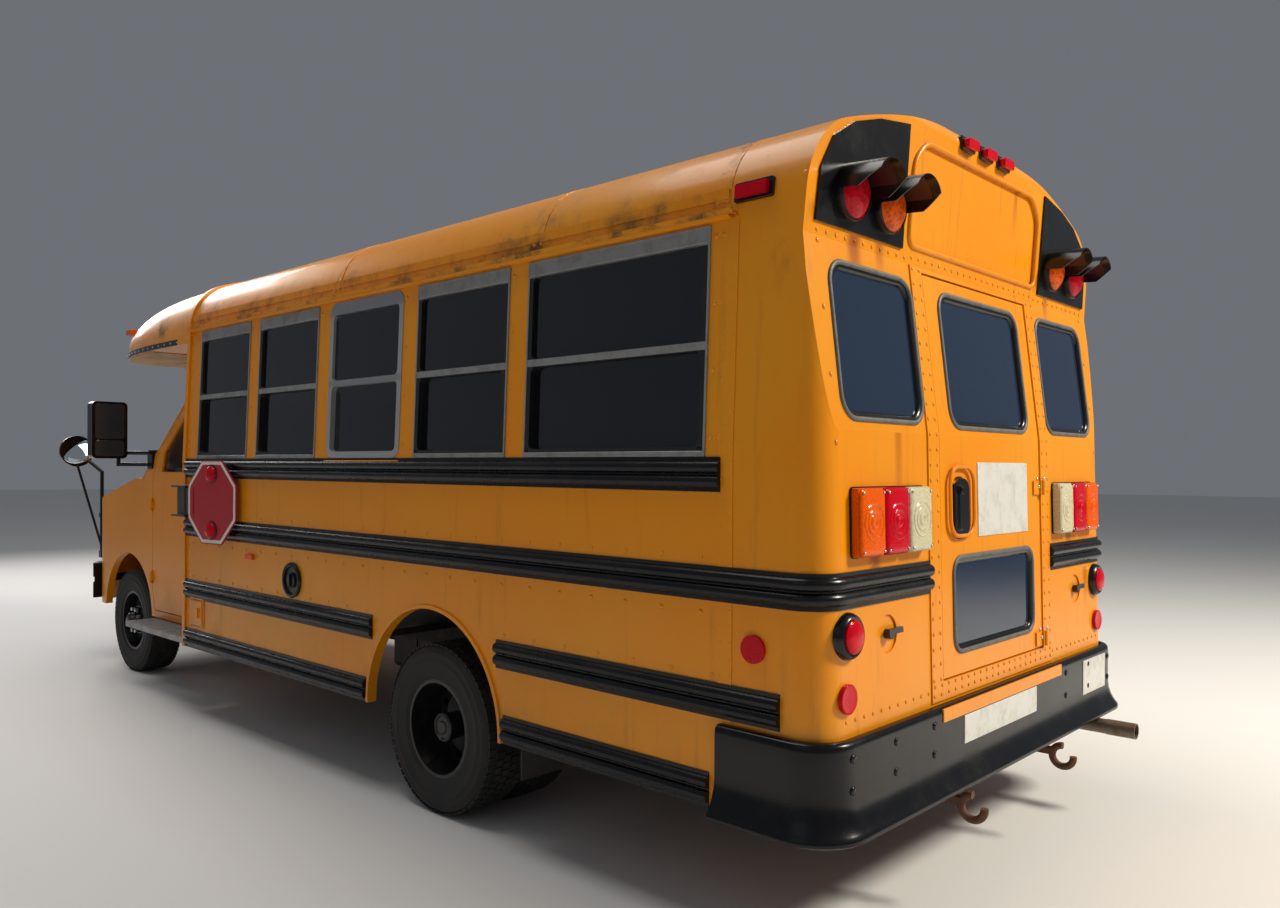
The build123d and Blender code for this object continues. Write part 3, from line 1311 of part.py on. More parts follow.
def stop_arm():
    """Folding octagon sign with a lamp at its top and bottom, on a hinge box."""
    flat = STOP["across"]
    edge = flat / (1 + math.sqrt(2))
    r = math.hypot(flat / 2, edge / 2)
    angles = [math.radians(22.5 + 45 * i) for i in range(8)]
    corners = [(r * math.cos(a), r * math.sin(a)) for a in angles]
    middle = -flat / 2 - 30
    lens = dome(46, 24)
    back_lens = mirror(lens, about=Plane.XY)
    sign = Pos(middle, 0, -4) * extrude(make_face(poly(*corners)), amount=8)
    for dz in (158, -158):
        sign += Pos(middle, dz, 4) * lens
        sign += Pos(middle, dz, -4) * back_lens
    tall = STOP_HIGH_Z - STOP_LOW_Z
    sign += Pos(-45, 0, 0) * Box(80, tall - 32, 14) + Rot(90, 0, 0) * Cylinder(12, tall - 32)
    sign += Rot(90, 0, 0) * Cylinder(PIN_R - RUN, tall - 2)
    place = Plane(origin=(STOP["x"], STOP["y"], STOP["z"]), x_dir=(1, 0, 0), z_dir=(0, 1, 0))
    return place * Rot(0, STOP["tilt"], 0) * sign


def stop_bracket():
    """Fixed hinge box on the body for the stop sign, forked round its pin."""
    x = STOP["x"]
    inner_y = STOP["y"] - 22
    box = sized(x + 28, x + 178, BODY_HALF, inner_y, STOP_LOW_Z, STOP_HIGH_Z)
    ears = Part()
    for z in (STOP_LOW_Z, STOP_HIGH_Z - 10):
        ear = sized(x - 12, x + 178, inner_y, STOP["y"] + 14, z, z + 10)
        ears += ear - rod("Z", (STOP["x"], STOP["y"], z - 1), 12, PIN_R)
    return box + ears


def rounded_box(x0, x1, y0, y1, z0, z1, r):
    return fillet(sized(x0, x1, y0, y1, z0, z1).edges().filter_by(Axis.Y), r)


def bench_seats():
    """Padded cushions and backs of five rows on each side of the aisle."""
    pads = []
    end_y = BODY_HALF - WALL - 31
    for x in SEAT_ROWS_X:
        pads.append(rounded_box(x - 200, x + 230, 200, end_y, 1130, 1240, 30))
        pads.append(rounded_box(x - 300, x - 200 - FIT, 200, end_y, 1130, 1830, 40))
    return both(union(pads))


def driver_seat():
    x = WHEEL_HUB[0] - 540
    cushion = rounded_box(x, x + 400, 170, 670, 1010, 1130, 40)
    back = rounded_box(x - 120, x - FIT, 170, 670, 1010, 1690, 50)
    head = rounded_box(x - 105, x - 20, 290, 550, 1690 + FIT, 1860, 30)
    return cushion + back + head


def seat_frames():
    """Steel legs and rails under the benches and the driver's pedestal."""
    top = 1130 - FIT
    wall_y = BODY_HALF - WALL
    rows = []
    for x in SEAT_ROWS_X:
        for dx in (-190, 170):
            rows.append(sized(x + dx, x + dx + 30, 230, wall_y, top - 30, top))
            rows.append(sized(x + dx, x + dx + 30, 230, 262, FLOOR_Z, top - 15))
        rows.append(sized(x - 190, x + 200, 230, 262, FLOOR_Z, FLOOR_Z + 14))
    x = WHEEL_HUB[0] - 500
    pedestal = sized(x, x + 320, 240, 600, CAB_FLOOR_Z, 1010 - FIT)
    return both(union(rows)) + pedestal


def dashboard():
    """Instrument panel across the cab, engine cover between the seats and the steering column."""
    low = from_axle((-479, 1120), (-509, 1300), (-439, 1370))
    high = from_axle((-339, 1382), (-259, 1290), (-259, 1120))
    board = prism_y(poly(*low, *high), -880, 880)
    cover = sized(FIREWALL_X - 440, FIREWALL_X, -290, 200, CAB_FLOOR_Z, 1130)
    hub = Plane(origin=WHEEL_HUB, x_dir=(0, 1, 0), z_dir=COLUMN)
    column = Pos(0, 0, -330) * Cylinder(38, 235, align=BASE)
    column -= Pos(0, 0, -130) * Cylinder(STEER_SHAFT_R + RUN, 40, align=BASE)
    return board + cover + hub * column


def steering_wheel():
    plane = Plane(origin=WHEEL_HUB, x_dir=(0, 1, 0), z_dir=COLUMN)
    wheel = Torus(190, 14) + Cylinder(48, 40)
    for i in range(3):
        wheel += Rot(0, 0, 90 + 120 * i) * Pos(115, 0, 0) * Box(150, 26, 12)
    wheel += Pos(0, 0, -125) * Cylinder(STEER_SHAFT_R, 120, align=BASE)
    return plane * wheel


def wheel_nodes():
    """Tyres and rims for the four corners; each rear corner carries two wheels."""
    twins = Pos(0, TWIN_PITCH / 2, 0) * tyre() + Pos(0, -TWIN_PITCH / 2, 0) * tyre()
    left = {
        "tyre_front": at_wheel(WHEELBASE, FRONT_AXLE_Y, tyre()),
        "rim_front": at_wheel(WHEELBASE, FRONT_AXLE_Y, front_wheel_rim()),
        "tyres_rear": at_wheel(0, REAR_AXLE_Y, twins),
        "rims_rear": at_wheel(0, REAR_AXLE_Y, rear_wheel_rims()),
        "knuckle": knuckle(),
    }
    nodes = {}
    for kind, shape in left.items():
        nodes[f"{kind}_left"] = shape
        nodes[f"{kind}_right"] = mirrored(shape)
    return nodes


def body_nodes():
    rails = union(rub_rails())
    left_wall = side_wall()
    rear_rail = corner_rail(RAIL_BOTTOMS["seat"], STRIP_HALF + 2)
    frames = union(sash_frame(sash) for sash in SASHES)
    panes = union(sash_panes(sash) for sash in SASHES)
    return {
        "side_wall_left": left_wall + arch_lip(),
        "side_wall_right": mirrored(left_wall + arch_lip()),
        "roof": roof() + drip_rails(),
        "rear_wall": rear_wall() + door_frame_strips(),
        "front_wall": front_wall(),
        "front_cap": front_cap(),
        "bus_floor": bus_floor(),
        "rub_rails": both(rails) + both(rear_rail),
        "window_frames": both(frames),
        "window_glass": both(panes) + rear_panes(),
        "rear_seals": rear_seals(),
        "rear_bumper": rear_bumper(),
    }


def cab_nodes():
    return {
        "cab_shell": cab_shell(),
        "hood": hood(),
        "grille": grille(),
        "headlamps": headlamps(),
        "front_bumper": front_bumper(),
        "windscreen": windscreen(),
        "dashboard": dashboard(),
        "steering_wheel": steering_wheel(),
        "seats": bench_seats() + driver_seat(),
        "seat_frames": seat_frames(),
        "cab_door_left": cab_door(),
        "cab_door_glass": side_glass(GLASS_SHAPE),
        "entry_frame": entry_frame(),
        "running_board": running_board(),
        "mirrors": mirrors(),
    }


def chassis_nodes():
    return {
        "frame_rails": frame_rails(),
        "tow_hooks": tow_hooks(),
        "engine_block": engine_block(),
        "fuel_tank": fuel_tank(),
        "exhaust": exhaust(),
        "front_suspension": front_suspension(),
        "rear_axle": rear_axle(),
        "mud_flaps": mud_flaps(),
    }


def lamp_nodes():
    return {
        "warning_lamps": warning_lamps(),
        "lamp_panels": lamp_panels() + lamp_hoods(),
        "small_lamps": tail_lamps() + marker_lamps(),
        "fittings": fittings() + stop_bracket(),
        "stop_arm": stop_arm(),
        "emergency_door": emergency_door(),
        "emergency_seals": emergency_seals(),
        "emergency_glass": emergency_glass(),
    }


os.makedirs("parts", exist_ok=True)
pieces = {}
pieces.update(chassis_nodes())
pieces.update(wheel_nodes())
pieces.update(body_nodes())
pieces.update(cab_nodes())
pieces.update(lamp_nodes())
for row in ENTRY_LEAVES:
    place = row["place"]
    pieces[f"entry_leaf_{place}"] = entry_leaf(row["x0"], row["x1"], row["pivot"])
    pieces[f"entry_glass_{place}"] = entry_glass(row["x0"], row["x1"])
for name, shape in pieces.items():
    save(name, shape)
    print(name, round(shape.volume / 1e6, 2))
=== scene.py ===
# %% [markdown]
# # A short school bus, dressed for its portrait
# The solids of the bus come from the CAD frame: walls, doors, rails, wheels, chassis. They already
# stand in the right place, so this lesson adds what makes them look real: paint with weather on it,
# rivets, tyre tread, lamp lenses, seat foam and the small bright trim. Every piece that is added here
# rides on one of the frame's moving bodies, so doors still open and wheels still turn.

# %% load the frame
import math

import bmesh
import bpy
from mathutils import Matrix, Vector
from mathutils.bvhtree import BVHTree


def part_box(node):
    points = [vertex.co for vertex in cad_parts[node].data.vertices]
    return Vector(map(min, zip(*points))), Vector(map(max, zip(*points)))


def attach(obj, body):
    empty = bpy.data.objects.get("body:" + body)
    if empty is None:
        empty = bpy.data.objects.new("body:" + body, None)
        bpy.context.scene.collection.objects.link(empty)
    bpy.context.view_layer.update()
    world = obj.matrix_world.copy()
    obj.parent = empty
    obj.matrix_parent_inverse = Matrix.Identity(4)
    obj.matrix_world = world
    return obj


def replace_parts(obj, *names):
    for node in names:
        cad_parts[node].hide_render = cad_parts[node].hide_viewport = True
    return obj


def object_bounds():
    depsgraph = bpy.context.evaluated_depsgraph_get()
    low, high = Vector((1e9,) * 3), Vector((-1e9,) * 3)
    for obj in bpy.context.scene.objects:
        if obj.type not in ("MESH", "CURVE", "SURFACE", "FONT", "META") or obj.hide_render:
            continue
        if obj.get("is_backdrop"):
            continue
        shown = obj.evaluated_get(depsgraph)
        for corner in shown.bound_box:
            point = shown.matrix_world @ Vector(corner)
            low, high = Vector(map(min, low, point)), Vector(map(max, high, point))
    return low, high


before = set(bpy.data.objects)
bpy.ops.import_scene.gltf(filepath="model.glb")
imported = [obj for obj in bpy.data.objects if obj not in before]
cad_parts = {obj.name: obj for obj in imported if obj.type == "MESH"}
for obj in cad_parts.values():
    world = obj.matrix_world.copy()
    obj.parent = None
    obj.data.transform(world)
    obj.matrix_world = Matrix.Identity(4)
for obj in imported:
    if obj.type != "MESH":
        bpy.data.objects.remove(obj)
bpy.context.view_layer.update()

# %% [markdown]
# ## Places on the bus
# All sizes are metres. The frame counts X from the middle of the bus's length, while the bus was
# measured from its rear axle, so one small function moves those readings into the frame. The walls
# lean in a little above the window line, which a second function gives. A third gives the rear wall.

# %% places and sizes
AXLE_TO_MIDDLE = 1.388
FRONT_AXLE_X = 4.039
TYRE_R = 0.368
BODY_HALF = 1.219
TUMBLE = 0.038
BELT_Z = 1.544
GUTTER_Z = 2.33
REAR_X = -1.973
REAR_LOW_Z = 0.41
REAR_LEAN = 0.026
CREASE_Z = 1.62
STEP_X = -1.868
STEP_Z = 2.215
HEAD_LEAN = 0.034 / 0.475
WINDOW_FRONT = 2.341
WINDOW_PITCH = 0.7405
WINDOW_WIDE = 0.614
LAST_WINDOW_WIDE = 0.888
WINDOW_TOP_Z = 2.282
WARNING_LAMP_Z = 2.372
TAIL_LAMP_Z = 1.335
STOP_LAMP = (1.078, 0.993)
FILLER = (1.195, 0.914)
AT_THE_REAR = -3.0
BEHIND_THE_BUS = -4.2
FORWARD = (1, 0, 0)
BACKWARD = (-1, 0, 0)
UP = Vector((0, 0, 1))


def along(x):
    """X in the frame for a distance ahead of the rear axle."""
    return x - AXLE_TO_MIDDLE


def wall_y(z):
    """Outside of the left wall at a height."""
    return BODY_HALF - max(0.0, z - BELT_Z) * TUMBLE


def rear_x(z):
    """Outside of the rear wall at a height: it leans, creases once and steps back at its head."""
    if z < CREASE_Z:
        return along(REAR_X + (z - REAR_LOW_Z) * REAR_LEAN)
    if z < STEP_Z:
        crease_x = REAR_X + (CREASE_Z - REAR_LOW_Z) * REAR_LEAN
        return along(crease_x + (z - CREASE_Z) * (STEP_X - crease_x) / (STEP_Z - CREASE_Z))
    return along(STEP_X - (z - STEP_Z) * HEAD_LEAN)


print("rear axle at", along(0), "rear wall at belt", round(rear_x(BELT_Z), 3))

# %% [markdown]
# ## Shader maths in plain Python
# A material is a small factory of nodes. Wiring twenty Math nodes by hand hides the idea, so one
# class wraps a socket and lets Python's own signs add the nodes. `Finish` is a material with one
# method for every other kind of node: its settings go in first, then its inputs.

# %% a socket that can be calculated with
def put(tree, kind, settings=None, inputs=None):
    """Add one node: settings first, then values or links for its sockets."""
    node = tree.nodes.new(kind)
    for name, value in (settings or {}).items():
        setattr(node, name, value)
    for name, value in (inputs or {}).items():
        socket = node.inputs[name]
        if isinstance(value, Signal):
            tree.links.new(value.socket, socket)
        elif isinstance(value, bpy.types.NodeSocket):
            tree.links.new(value, socket)
        else:
            socket.default_value = value
    return node


class Signal:
    """A socket with Python's signs: a + b, 1 - mask, height ** 2 and so on."""

    def __init__(self, tree, socket):
        self.tree = tree
        self.socket = socket

    def maths(self, operation, *values, clamp=False):
        inputs = dict(enumerate(values))
        node = put(self.tree, "ShaderNodeMath", {"operation": operation, "use_clamp": clamp}, inputs)
        return Signal(self.tree, node.outputs[0])

    def __add__(self, other):
        return self.maths("ADD", self, other)

    __radd__ = __add__

    def __sub__(self, other):
        return self.maths("SUBTRACT", self, other)

    def __rsub__(self, other):
        return self.maths("SUBTRACT", other, self)

    def __mul__(self, other):
        return self.maths("MULTIPLY", self, other)

    def __truediv__(self, other):
        return self.maths("DIVIDE", self, other)

    def __pow__(self, other):
        return self.maths("POWER", self, other)

    def __gt__(self, other):
        return self.maths("GREATER_THAN", self, other)

    def __lt__(self, other):
        return self.maths("LESS_THAN", self, other)

    def __abs__(self):
        return self.maths("ABSOLUTE", self)

    def clip(self):
        return self.maths("ADD", self, 0.0, clamp=True)

    def ramp(self, low, high):
        """0 below low, 1 above high, smooth between."""
        node = put(
            self.tree,
            "ShaderNodeMapRange",
            {"interpolation_type": "SMOOTHSTEP"},
            {"Value": self, "From Min": low, "From Max": high},
        )
        return Signal(self.tree, node.outputs[0])


class Finish:
    """One material: its tree, its Principled shader and the object's own coordinates."""

    def __init__(self, name, **sockets):
        self.material = bpy.data.materials.new(name)
        self.material.use_nodes = True
        self.tree = self.material.node_tree
        self.shader = self.tree.nodes["Principled BSDF"]
        self.shader.inputs["Base Color"].default_value = (*sockets.pop("colour", (0.5, 0.5, 0.5)), 1)
        for key, value in sockets.items():
            self.shader.inputs[key.replace("_", " ").title().replace("Ior", "IOR")].default_value = value
        self.place = self.node("ShaderNodeTexCoord").outputs["Object"]

    def node(self, kind, settings=None, inputs=None):
        return put(self.tree, kind, settings, inputs)

    def axis(self, letter):
        split = self.node("ShaderNodeSeparateXYZ", None, {0: self.place})
        return Signal(self.tree, split.outputs[letter])

    def noise(self, scale, detail=4.0, rough=0.55, stretch=None, seed=0.0):
        """A cloud of values from 0 to 1; stretch draws it out along an axis."""
        vector = self.place
        if stretch or seed:
            settings = {"Vector": self.place, "Scale": stretch or (1, 1, 1)}
            settings["Location"] = (seed, seed, seed)
            vector = self.node("ShaderNodeMapping", None, settings).outputs[0]
        inputs = {"Vector": vector, "Scale": scale, "Detail": detail, "Roughness": rough}
        return Signal(self.tree, self.node("ShaderNodeTexNoise", None, inputs).outputs["Fac"])

    def cells(self, scale, stretch=None):
        """Distances inside a cell pattern, from 0 in the middle of each cell."""
        vector = self.place
        if stretch:
            settings = {"Vector": self.place, "Scale": stretch}
            vector = self.node("ShaderNodeMapping", None, settings).outputs[0]
        cell = self.node("ShaderNodeTexVoronoi", None, {"Vector": vector, "Scale": scale})
        return Signal(self.tree, cell.outputs["Distance"])

    def mix(self, amount, first, second):
        """A colour between two, by a mask."""
        node = self.node("ShaderNodeMix", {"data_type": "RGBA"})
        for socket, value in (("A", first), ("B", second)):
            target = next(s for s in node.inputs if s.name == socket and s.type == "RGBA")
            if isinstance(value, bpy.types.NodeSocket):
                self.tree.links.new(value, target)
            else:
                target.default_value = (*value, 1)
        self.tree.links.new(amount.socket, node.inputs[0])
        return next(s for s in node.outputs if s.type == "RGBA")

    def set(self, name, value):
        socket = value.socket if isinstance(value, Signal) else value
        self.tree.links.new(socket, self.shader.inputs[name])

    def bump(self, height):
        """Relief whose height is in metres."""
        inputs = {"Height": height, "Distance": 1.0, "Strength": 1.0}
        self.set("Normal", self.node("ShaderNodeBump", None, inputs).outputs[0])


print("shader helpers ready")

# %% [markdown]
# ## Weathered yellow paint
# The body is fleet yellow enamel that has stood outdoors for years. The colour fades in broad
# patches, road dirt darkens the skirt, rain draws dark streaks down the sheets, rust runs below the
# lamps and boards at the rear, and mildew films the roof. The sheets are riveted, so they also
# ripple a little between their fixings. All of it is read from the object's own coordinates, so a
# door carries its dirt along when it opens.

# %% yellow body paint
YELLOW = (0.80, 0.262, 0.0012)
YELLOW_FADED = (0.78, 0.295, 0.009)
GRIME = (0.10, 0.060, 0.022)
ROAD_DIRT = (0.20, 0.13, 0.07)
MILDEW = (0.050, 0.044, 0.026)
MILDEW_SPECK = (0.05, 0.05, 0.035)
RUST = (0.30, 0.062, 0.006)
REAR_FACE = (-3.25, -3.05)
ROOF_SEAMS = (-1.581, -0.655, 0.826, 2.49)
RUST_STREAKS = [  # y, top, length, width and strength of the streaks below boards, lamps and strips
    (0.905, 2.250, 0.22, 0.060, 0.90), (0.742, 2.250, 0.15, 0.042, 0.62),
    (-0.700, 2.250, 0.14, 0.040, 0.62), (0.740, 1.620, 0.34, 0.036, 0.50),
    (0.905, 1.230, 0.17, 0.052, 0.80), (-0.770, 1.230, 0.12, 0.042, 0.62),
    (-0.330, 2.640, 0.24, 0.030, 0.50), (0.160, 2.700, 0.08, 0.055, 0.60),
    (0.0, 2.700, 0.06, 0.045, 0.50), (-0.965, 1.060, 0.24, 0.040, 0.55),
]


def near(value, places, width):
    """A soft bell round each of several places."""
    total = None
    for place in places:
        bell = 1 - abs(value - place).ramp(0.0, width)
        total = bell if total is None else total + bell
    return total.clip()


def yellow_paint(name, roof=False, ripple=0.004):
    """Yellow that fades in patches, with drips, road dirt and rust; a roof gets mildew too."""
    paint = Finish(name, roughness=0.32, coat_weight=0.16, coat_roughness=0.08, specular_ior_level=0.25)
    z = paint.axis("Z")
    patch = paint.noise(1.3, 3.0)
    fine = paint.noise(38.0, 5.0, 0.7)
    streak = paint.noise(2.2, 6.0, 0.65, stretch=(9.0, 9.0, 0.55))
    colour = paint.mix(patch.ramp(0.35, 0.75), YELLOW, YELLOW_FADED)
    drip = (streak.ramp(0.56, 0.78) * 0.30).clip()
    colour = paint.mix(drip, colour, GRIME)
    low = (1 - z.ramp(0.40, 0.80)) * paint.noise(5.0, 6.0, 0.7).ramp(0.40, 0.85)
    colour = paint.mix((low * 0.40).clip(), colour, ROAD_DIRT)
    behind = 1 - paint.axis("X").ramp(*REAR_FACE)
    bleed = paint.noise(3.1, 7.0, 0.7, stretch=(1.0, 7.0, 0.5), seed=5.3).ramp(0.60, 0.74) * behind
    colour = paint.mix((bleed * 0.42).clip(), colour, RUST)
    across = paint.axis("Y")
    wander = (paint.noise(2.0, 3.0, 0.6, seed=8.8) - 0.5) * 0.05
    for y, top, length, width, strength in RUST_STREAKS:
        line = 1 - (abs(across + wander * (top - z) - y) / width).ramp(0.15, 1.0)
        fade = z.ramp(top - length, top) * (z < top)
        colour = paint.mix((line * fade * behind * strength).clip(), colour, RUST)
    rough = 0.27 + fine * 0.12 + drip * 0.5 + low * 0.35 + bleed * 0.2
    if roof:
        cloud = paint.noise(3.2, 8.0, 0.72, seed=3.1).ramp(0.47, 0.70)
        gutter = 1 - z.ramp(GUTTER_Z - 0.01, GUTTER_Z + 0.17)
        x = paint.axis("X")
        seams = near(x, [along(s) for s in ROOF_SEAMS], 0.11)
        tail = 1 - x.ramp(along(-1.6), along(-0.9))
        film = (cloud * (0.16 + gutter * 0.95 + seams * 0.6 + tail * 0.3)).clip()
        speck = paint.noise(60.0, 3.0, 0.8).ramp(0.55, 0.68) * (0.15 + film)
        colour = paint.mix((film * 0.85).clip(), colour, MILDEW)
        colour = paint.mix((speck * 0.5).clip(), colour, MILDEW_SPECK)
        rough = rough + film * 0.35
    paint.set("Base Color", colour)
    paint.set("Roughness", rough.clip())
    paint.bump(paint.noise(1.7, 2.0, 0.4) * ripple + fine * 0.00012)
    return paint


BODY_PAINT = yellow_paint("body_yellow")
CAP_PAINT = yellow_paint("cap_yellow", roof=True, ripple=0.001)
ROOF_PAINT = yellow_paint("roof_yellow", roof=True)
CAB_PAINT = yellow_paint("cab_yellow", ripple=0.0012)
print("paints", BODY_PAINT.material.name, ROOF_PAINT.material.name, CAB_PAINT.material.name)

# %% [markdown]
# ## The other finishes
# Each one is a plain Principled shader whose colour or roughness is broken up by noise. Where one
# CAD piece carries two finishes, such as red and amber lenses, a mask made from the object's own
# coordinates chooses between them.

# %% rubber, plastic, metal and glass
def worn(name, colour, dirt, rough=0.45, amount=0.5, scale=9.0, bump=0.0002, dulling=0.25, **more):
    """A plain finish with blotches of dirt and a grain."""
    finish = Finish(name, **more)
    blot = finish.noise(scale, 6.0, 0.68).ramp(0.42, 0.74)
    fine = finish.noise(90.0, 3.0, 0.7)
    finish.set("Base Color", finish.mix((blot * amount).clip(), colour, dirt))
    finish.set("Roughness", (rough + blot * dulling + fine * 0.06 - 0.03).clip())
    finish.bump(fine * bump)
    return finish


RAIL_BLACK = worn(
    "rail_black", (0.0034, 0.0036, 0.0050), (0.020, 0.019, 0.018), 0.25, 0.22, 5.0, 0.0001, 0.10,
    specular_ior_level=0.32,
)
BUMPER_BLACK = worn(
    "bumper_black", (0.0036, 0.0038, 0.0052), (0.014, 0.013, 0.012), 0.20, 0.30, 6.0, 0.0001, 0.10,
    specular_ior_level=0.30,
)
TRIM_BLACK = worn(
    "trim_black", (0.0045, 0.0045, 0.0055), (0.013, 0.0125, 0.012), 0.22, 0.30, 7.0, 0.0001, 0.08,
    specular_ior_level=0.4,
)
RUBBER = worn("rubber", (0.016, 0.016, 0.017), (0.07, 0.062, 0.052), 0.72, 0.5, 14.0)
TYRE = worn("tyre_rubber", (0.013, 0.0125, 0.0125), (0.060, 0.050, 0.040), 0.72, 0.6, 11.0, 0.0004)
RIM = worn("rim_black", (0.008, 0.009, 0.012), (0.07, 0.05, 0.033), 0.30, 0.40, 16.0)
CHASSIS = worn("chassis_black", (0.022, 0.021, 0.021), (0.15, 0.085, 0.045), 0.68, 0.75, 7.0, 0.0006)
IRON = worn(
    "cast_iron", (0.07, 0.066, 0.062), (0.16, 0.075, 0.035), 0.62, 0.7, 10.0, 0.0008, metallic=0.5
)
DULL_ALUMINIUM = worn(
    "trim_aluminium", (0.34, 0.34, 0.335), (0.15, 0.14, 0.12), 0.40, 0.5, 14.0, metallic=0.6
)
PIPE = worn(
    "exhaust_steel", (0.21, 0.17, 0.13), (0.17, 0.07, 0.03), 0.5, 0.8, 13.0, 0.0004, metallic=0.7
)
HOOK = worn("hook_rust", (0.10, 0.045, 0.025), (0.22, 0.085, 0.035), 0.75, 0.8, 30.0, 0.0012)
MIRROR = Finish("mirror_glass", colour=(0.80, 0.83, 0.86), metallic=1.0, roughness=0.02)
# The flat mirror glass is dark and not metallic: its colour is a painted dark reflection.
FLAT_MIRROR_PAINTED_DARK = Finish(
    "flat_mirror_painted_dark_reflection", colour=(0.030, 0.036, 0.042), metallic=0.0, roughness=0.10, specular_ior_level=0.6
)
DASH = worn("dash_plastic", (0.10, 0.098, 0.094), (0.17, 0.16, 0.145), 0.62, 0.4, 8.0, 0.0006)
VINYL = worn("seat_vinyl", (0.030, 0.038, 0.042), (0.085, 0.085, 0.08), 0.42, 0.5, 10.0, 0.0005)
STEEL_PAINT = worn("seat_steel", (0.10, 0.11, 0.11), (0.22, 0.20, 0.17), 0.45, 0.4, 12.0)
FLOOR_MAT = worn("floor_rubber", (0.028, 0.028, 0.030), (0.13, 0.115, 0.095), 0.66, 0.7, 5.0, 0.0005)
TANK = worn("tank_black", (0.030, 0.029, 0.028), (0.14, 0.10, 0.065), 0.55, 0.7, 8.0, 0.0005)
SEAL = worn("seal_grey", (0.115, 0.113, 0.108), (0.045, 0.042, 0.038), 0.5, 0.6, 25.0)
PLATE = worn("plate_white", (0.66, 0.65, 0.61), (0.36, 0.33, 0.27), 0.38, 0.55, 14.0)
BRIGHT_BOLT = worn(
    "bright_bolt", (0.62, 0.62, 0.61), (0.25, 0.21, 0.16), 0.28, 0.4, 60.0, metallic=0.9
)
TAN = worn("cap_underside", (0.45, 0.29, 0.13), (0.27, 0.19, 0.11), 0.6, 0.6, 6.0)
print(len(bpy.data.materials), "materials so far")

# %% [markdown]
# ### Glass
# Side glass is tinted almost black and the windscreen is clearer. Both are thin panes, so alpha lets
# the cabin show through and no light has to bend. The rear lights look bluer than the side windows,
# so the tinted pane has a second, bluer colour at the rear: a painted reflection.

# %% glass
def glass(name, colour, alpha, rough=0.03, rear=None):
    """A tinted pane with dust; rear is its colour at the rear of the bus, a painted reflection, where it
    has one.
    """
    pane = Finish(name, colour=colour, alpha=alpha, roughness=rough, specular_ior_level=0.75)
    dust = pane.noise(3.5, 6.0, 0.7).ramp(0.5, 0.8)
    if rear:
        at_rear = pane.axis("X") < AT_THE_REAR
        pane.set("Base Color", pane.mix(at_rear, colour, rear))
    pane.set("Roughness", (rough + dust * 0.10).clip())
    pane.set("Alpha", (alpha + dust * 0.05).clip())
    pane.bump(pane.noise(1.6, 0.0, 0.0) * 0.0012)
    return pane


# The bluish second colour of the tinted pane at the rear is a painted reflection.
DARK_GLASS = glass("tinted_glass_with_painted_rear_reflection", (0.006, 0.006, 0.009), 0.90, rear=(0.012, 0.026, 0.060))
CLEAR_GLASS = glass("clear_glass", (0.03, 0.036, 0.038), 0.34)
print("panes", DARK_GLASS.material.name, CLEAR_GLASS.material.name)

# %% [markdown]
# ### Lamp lenses
# A lens is coloured plastic with fine moulded flutes. The flutes are a bump, and dirt collects in
# the same cells. One piece can hold lamps of several colours, so a mask from the object's own
# coordinates gives each lamp its colour.

# %% lens finishes
RED = (0.56, 0.0004, 0.012)
AMBER = (0.80, 0.105, 0.0004)
CLEAR_LENS = (0.62, 0.57, 0.38)
TAIL_LAMP_HEIGHTS = (1.2, 1.48)
TAIL_LAMP_JOINTS = (0.739, 0.895)
MARKERS_AHEAD_OF = -0.5
WARNING_SPLIT_AHEAD, WARNING_SPLIT_BEHIND = 0.45, 0.84
TURN_LAMP_Y = 0.865


def lens(name, colour=None, flute=130.0):
    """A fluted lens, in one colour or in those of the small lamps."""
    cover = Finish(name, roughness=0.12, specular_ior_level=0.16)
    cell = cover.cells(flute).ramp(0.1, 0.7)
    if colour is None:
        colour = lamp_colours(cover)
    grime = cover.noise(24.0, 5.0, 0.7).ramp(0.60, 0.80) * 0.22 + (1 - cell) * 0.22
    cover.set("Base Color", cover.mix(grime.clip(), colour, (0.06, 0.02, 0.012)))
    cover.bump(cell * 0.0003)
    return cover


def lamp_colours(cover):
    """Small lamps by where they are: white inner, red middle and amber outer tail lamps, amber
    markers ahead, red everywhere else."""
    side = abs(cover.axis("Y"))
    low, high = TAIL_LAMP_HEIGHTS
    inner, outer = TAIL_LAMP_JOINTS
    tail = (cover.axis("Z") > low) * (cover.axis("Z") < high) * (cover.axis("X") < AT_THE_REAR)
    ahead = cover.axis("X") > MARKERS_AHEAD_OF
    amber = (tail * (side > outer) + ahead).clip()
    white = (tail * (side < inner)).clip()
    return cover.mix(white, cover.mix(amber, RED, AMBER), CLEAR_LENS)


def warning_colours(cover):
    """Warning lamps: the outer ones are red and the inner ones amber, at both ends."""
    side = abs(cover.axis("Y"))
    ahead = cover.axis("X") > 0.0
    rear_outer = (1 - ahead) * (side > WARNING_SPLIT_BEHIND)
    outer = (ahead * (side > WARNING_SPLIT_AHEAD) + rear_outer).clip()
    return cover.mix(outer, AMBER, RED)


def warning_lens():
    """The big warning lamps have coarser cells than the small lamps."""
    cover = Finish("warning_lens", roughness=0.12, specular_ior_level=0.16)
    cell = cover.cells(70.0).ramp(0.15, 0.8)
    grime = ((1 - cell) * 0.45).clip()
    cover.set("Base Color", cover.mix(grime, warning_colours(cover), (0.05, 0.01, 0.006)))
    cover.bump(cell * 0.0004)
    return cover


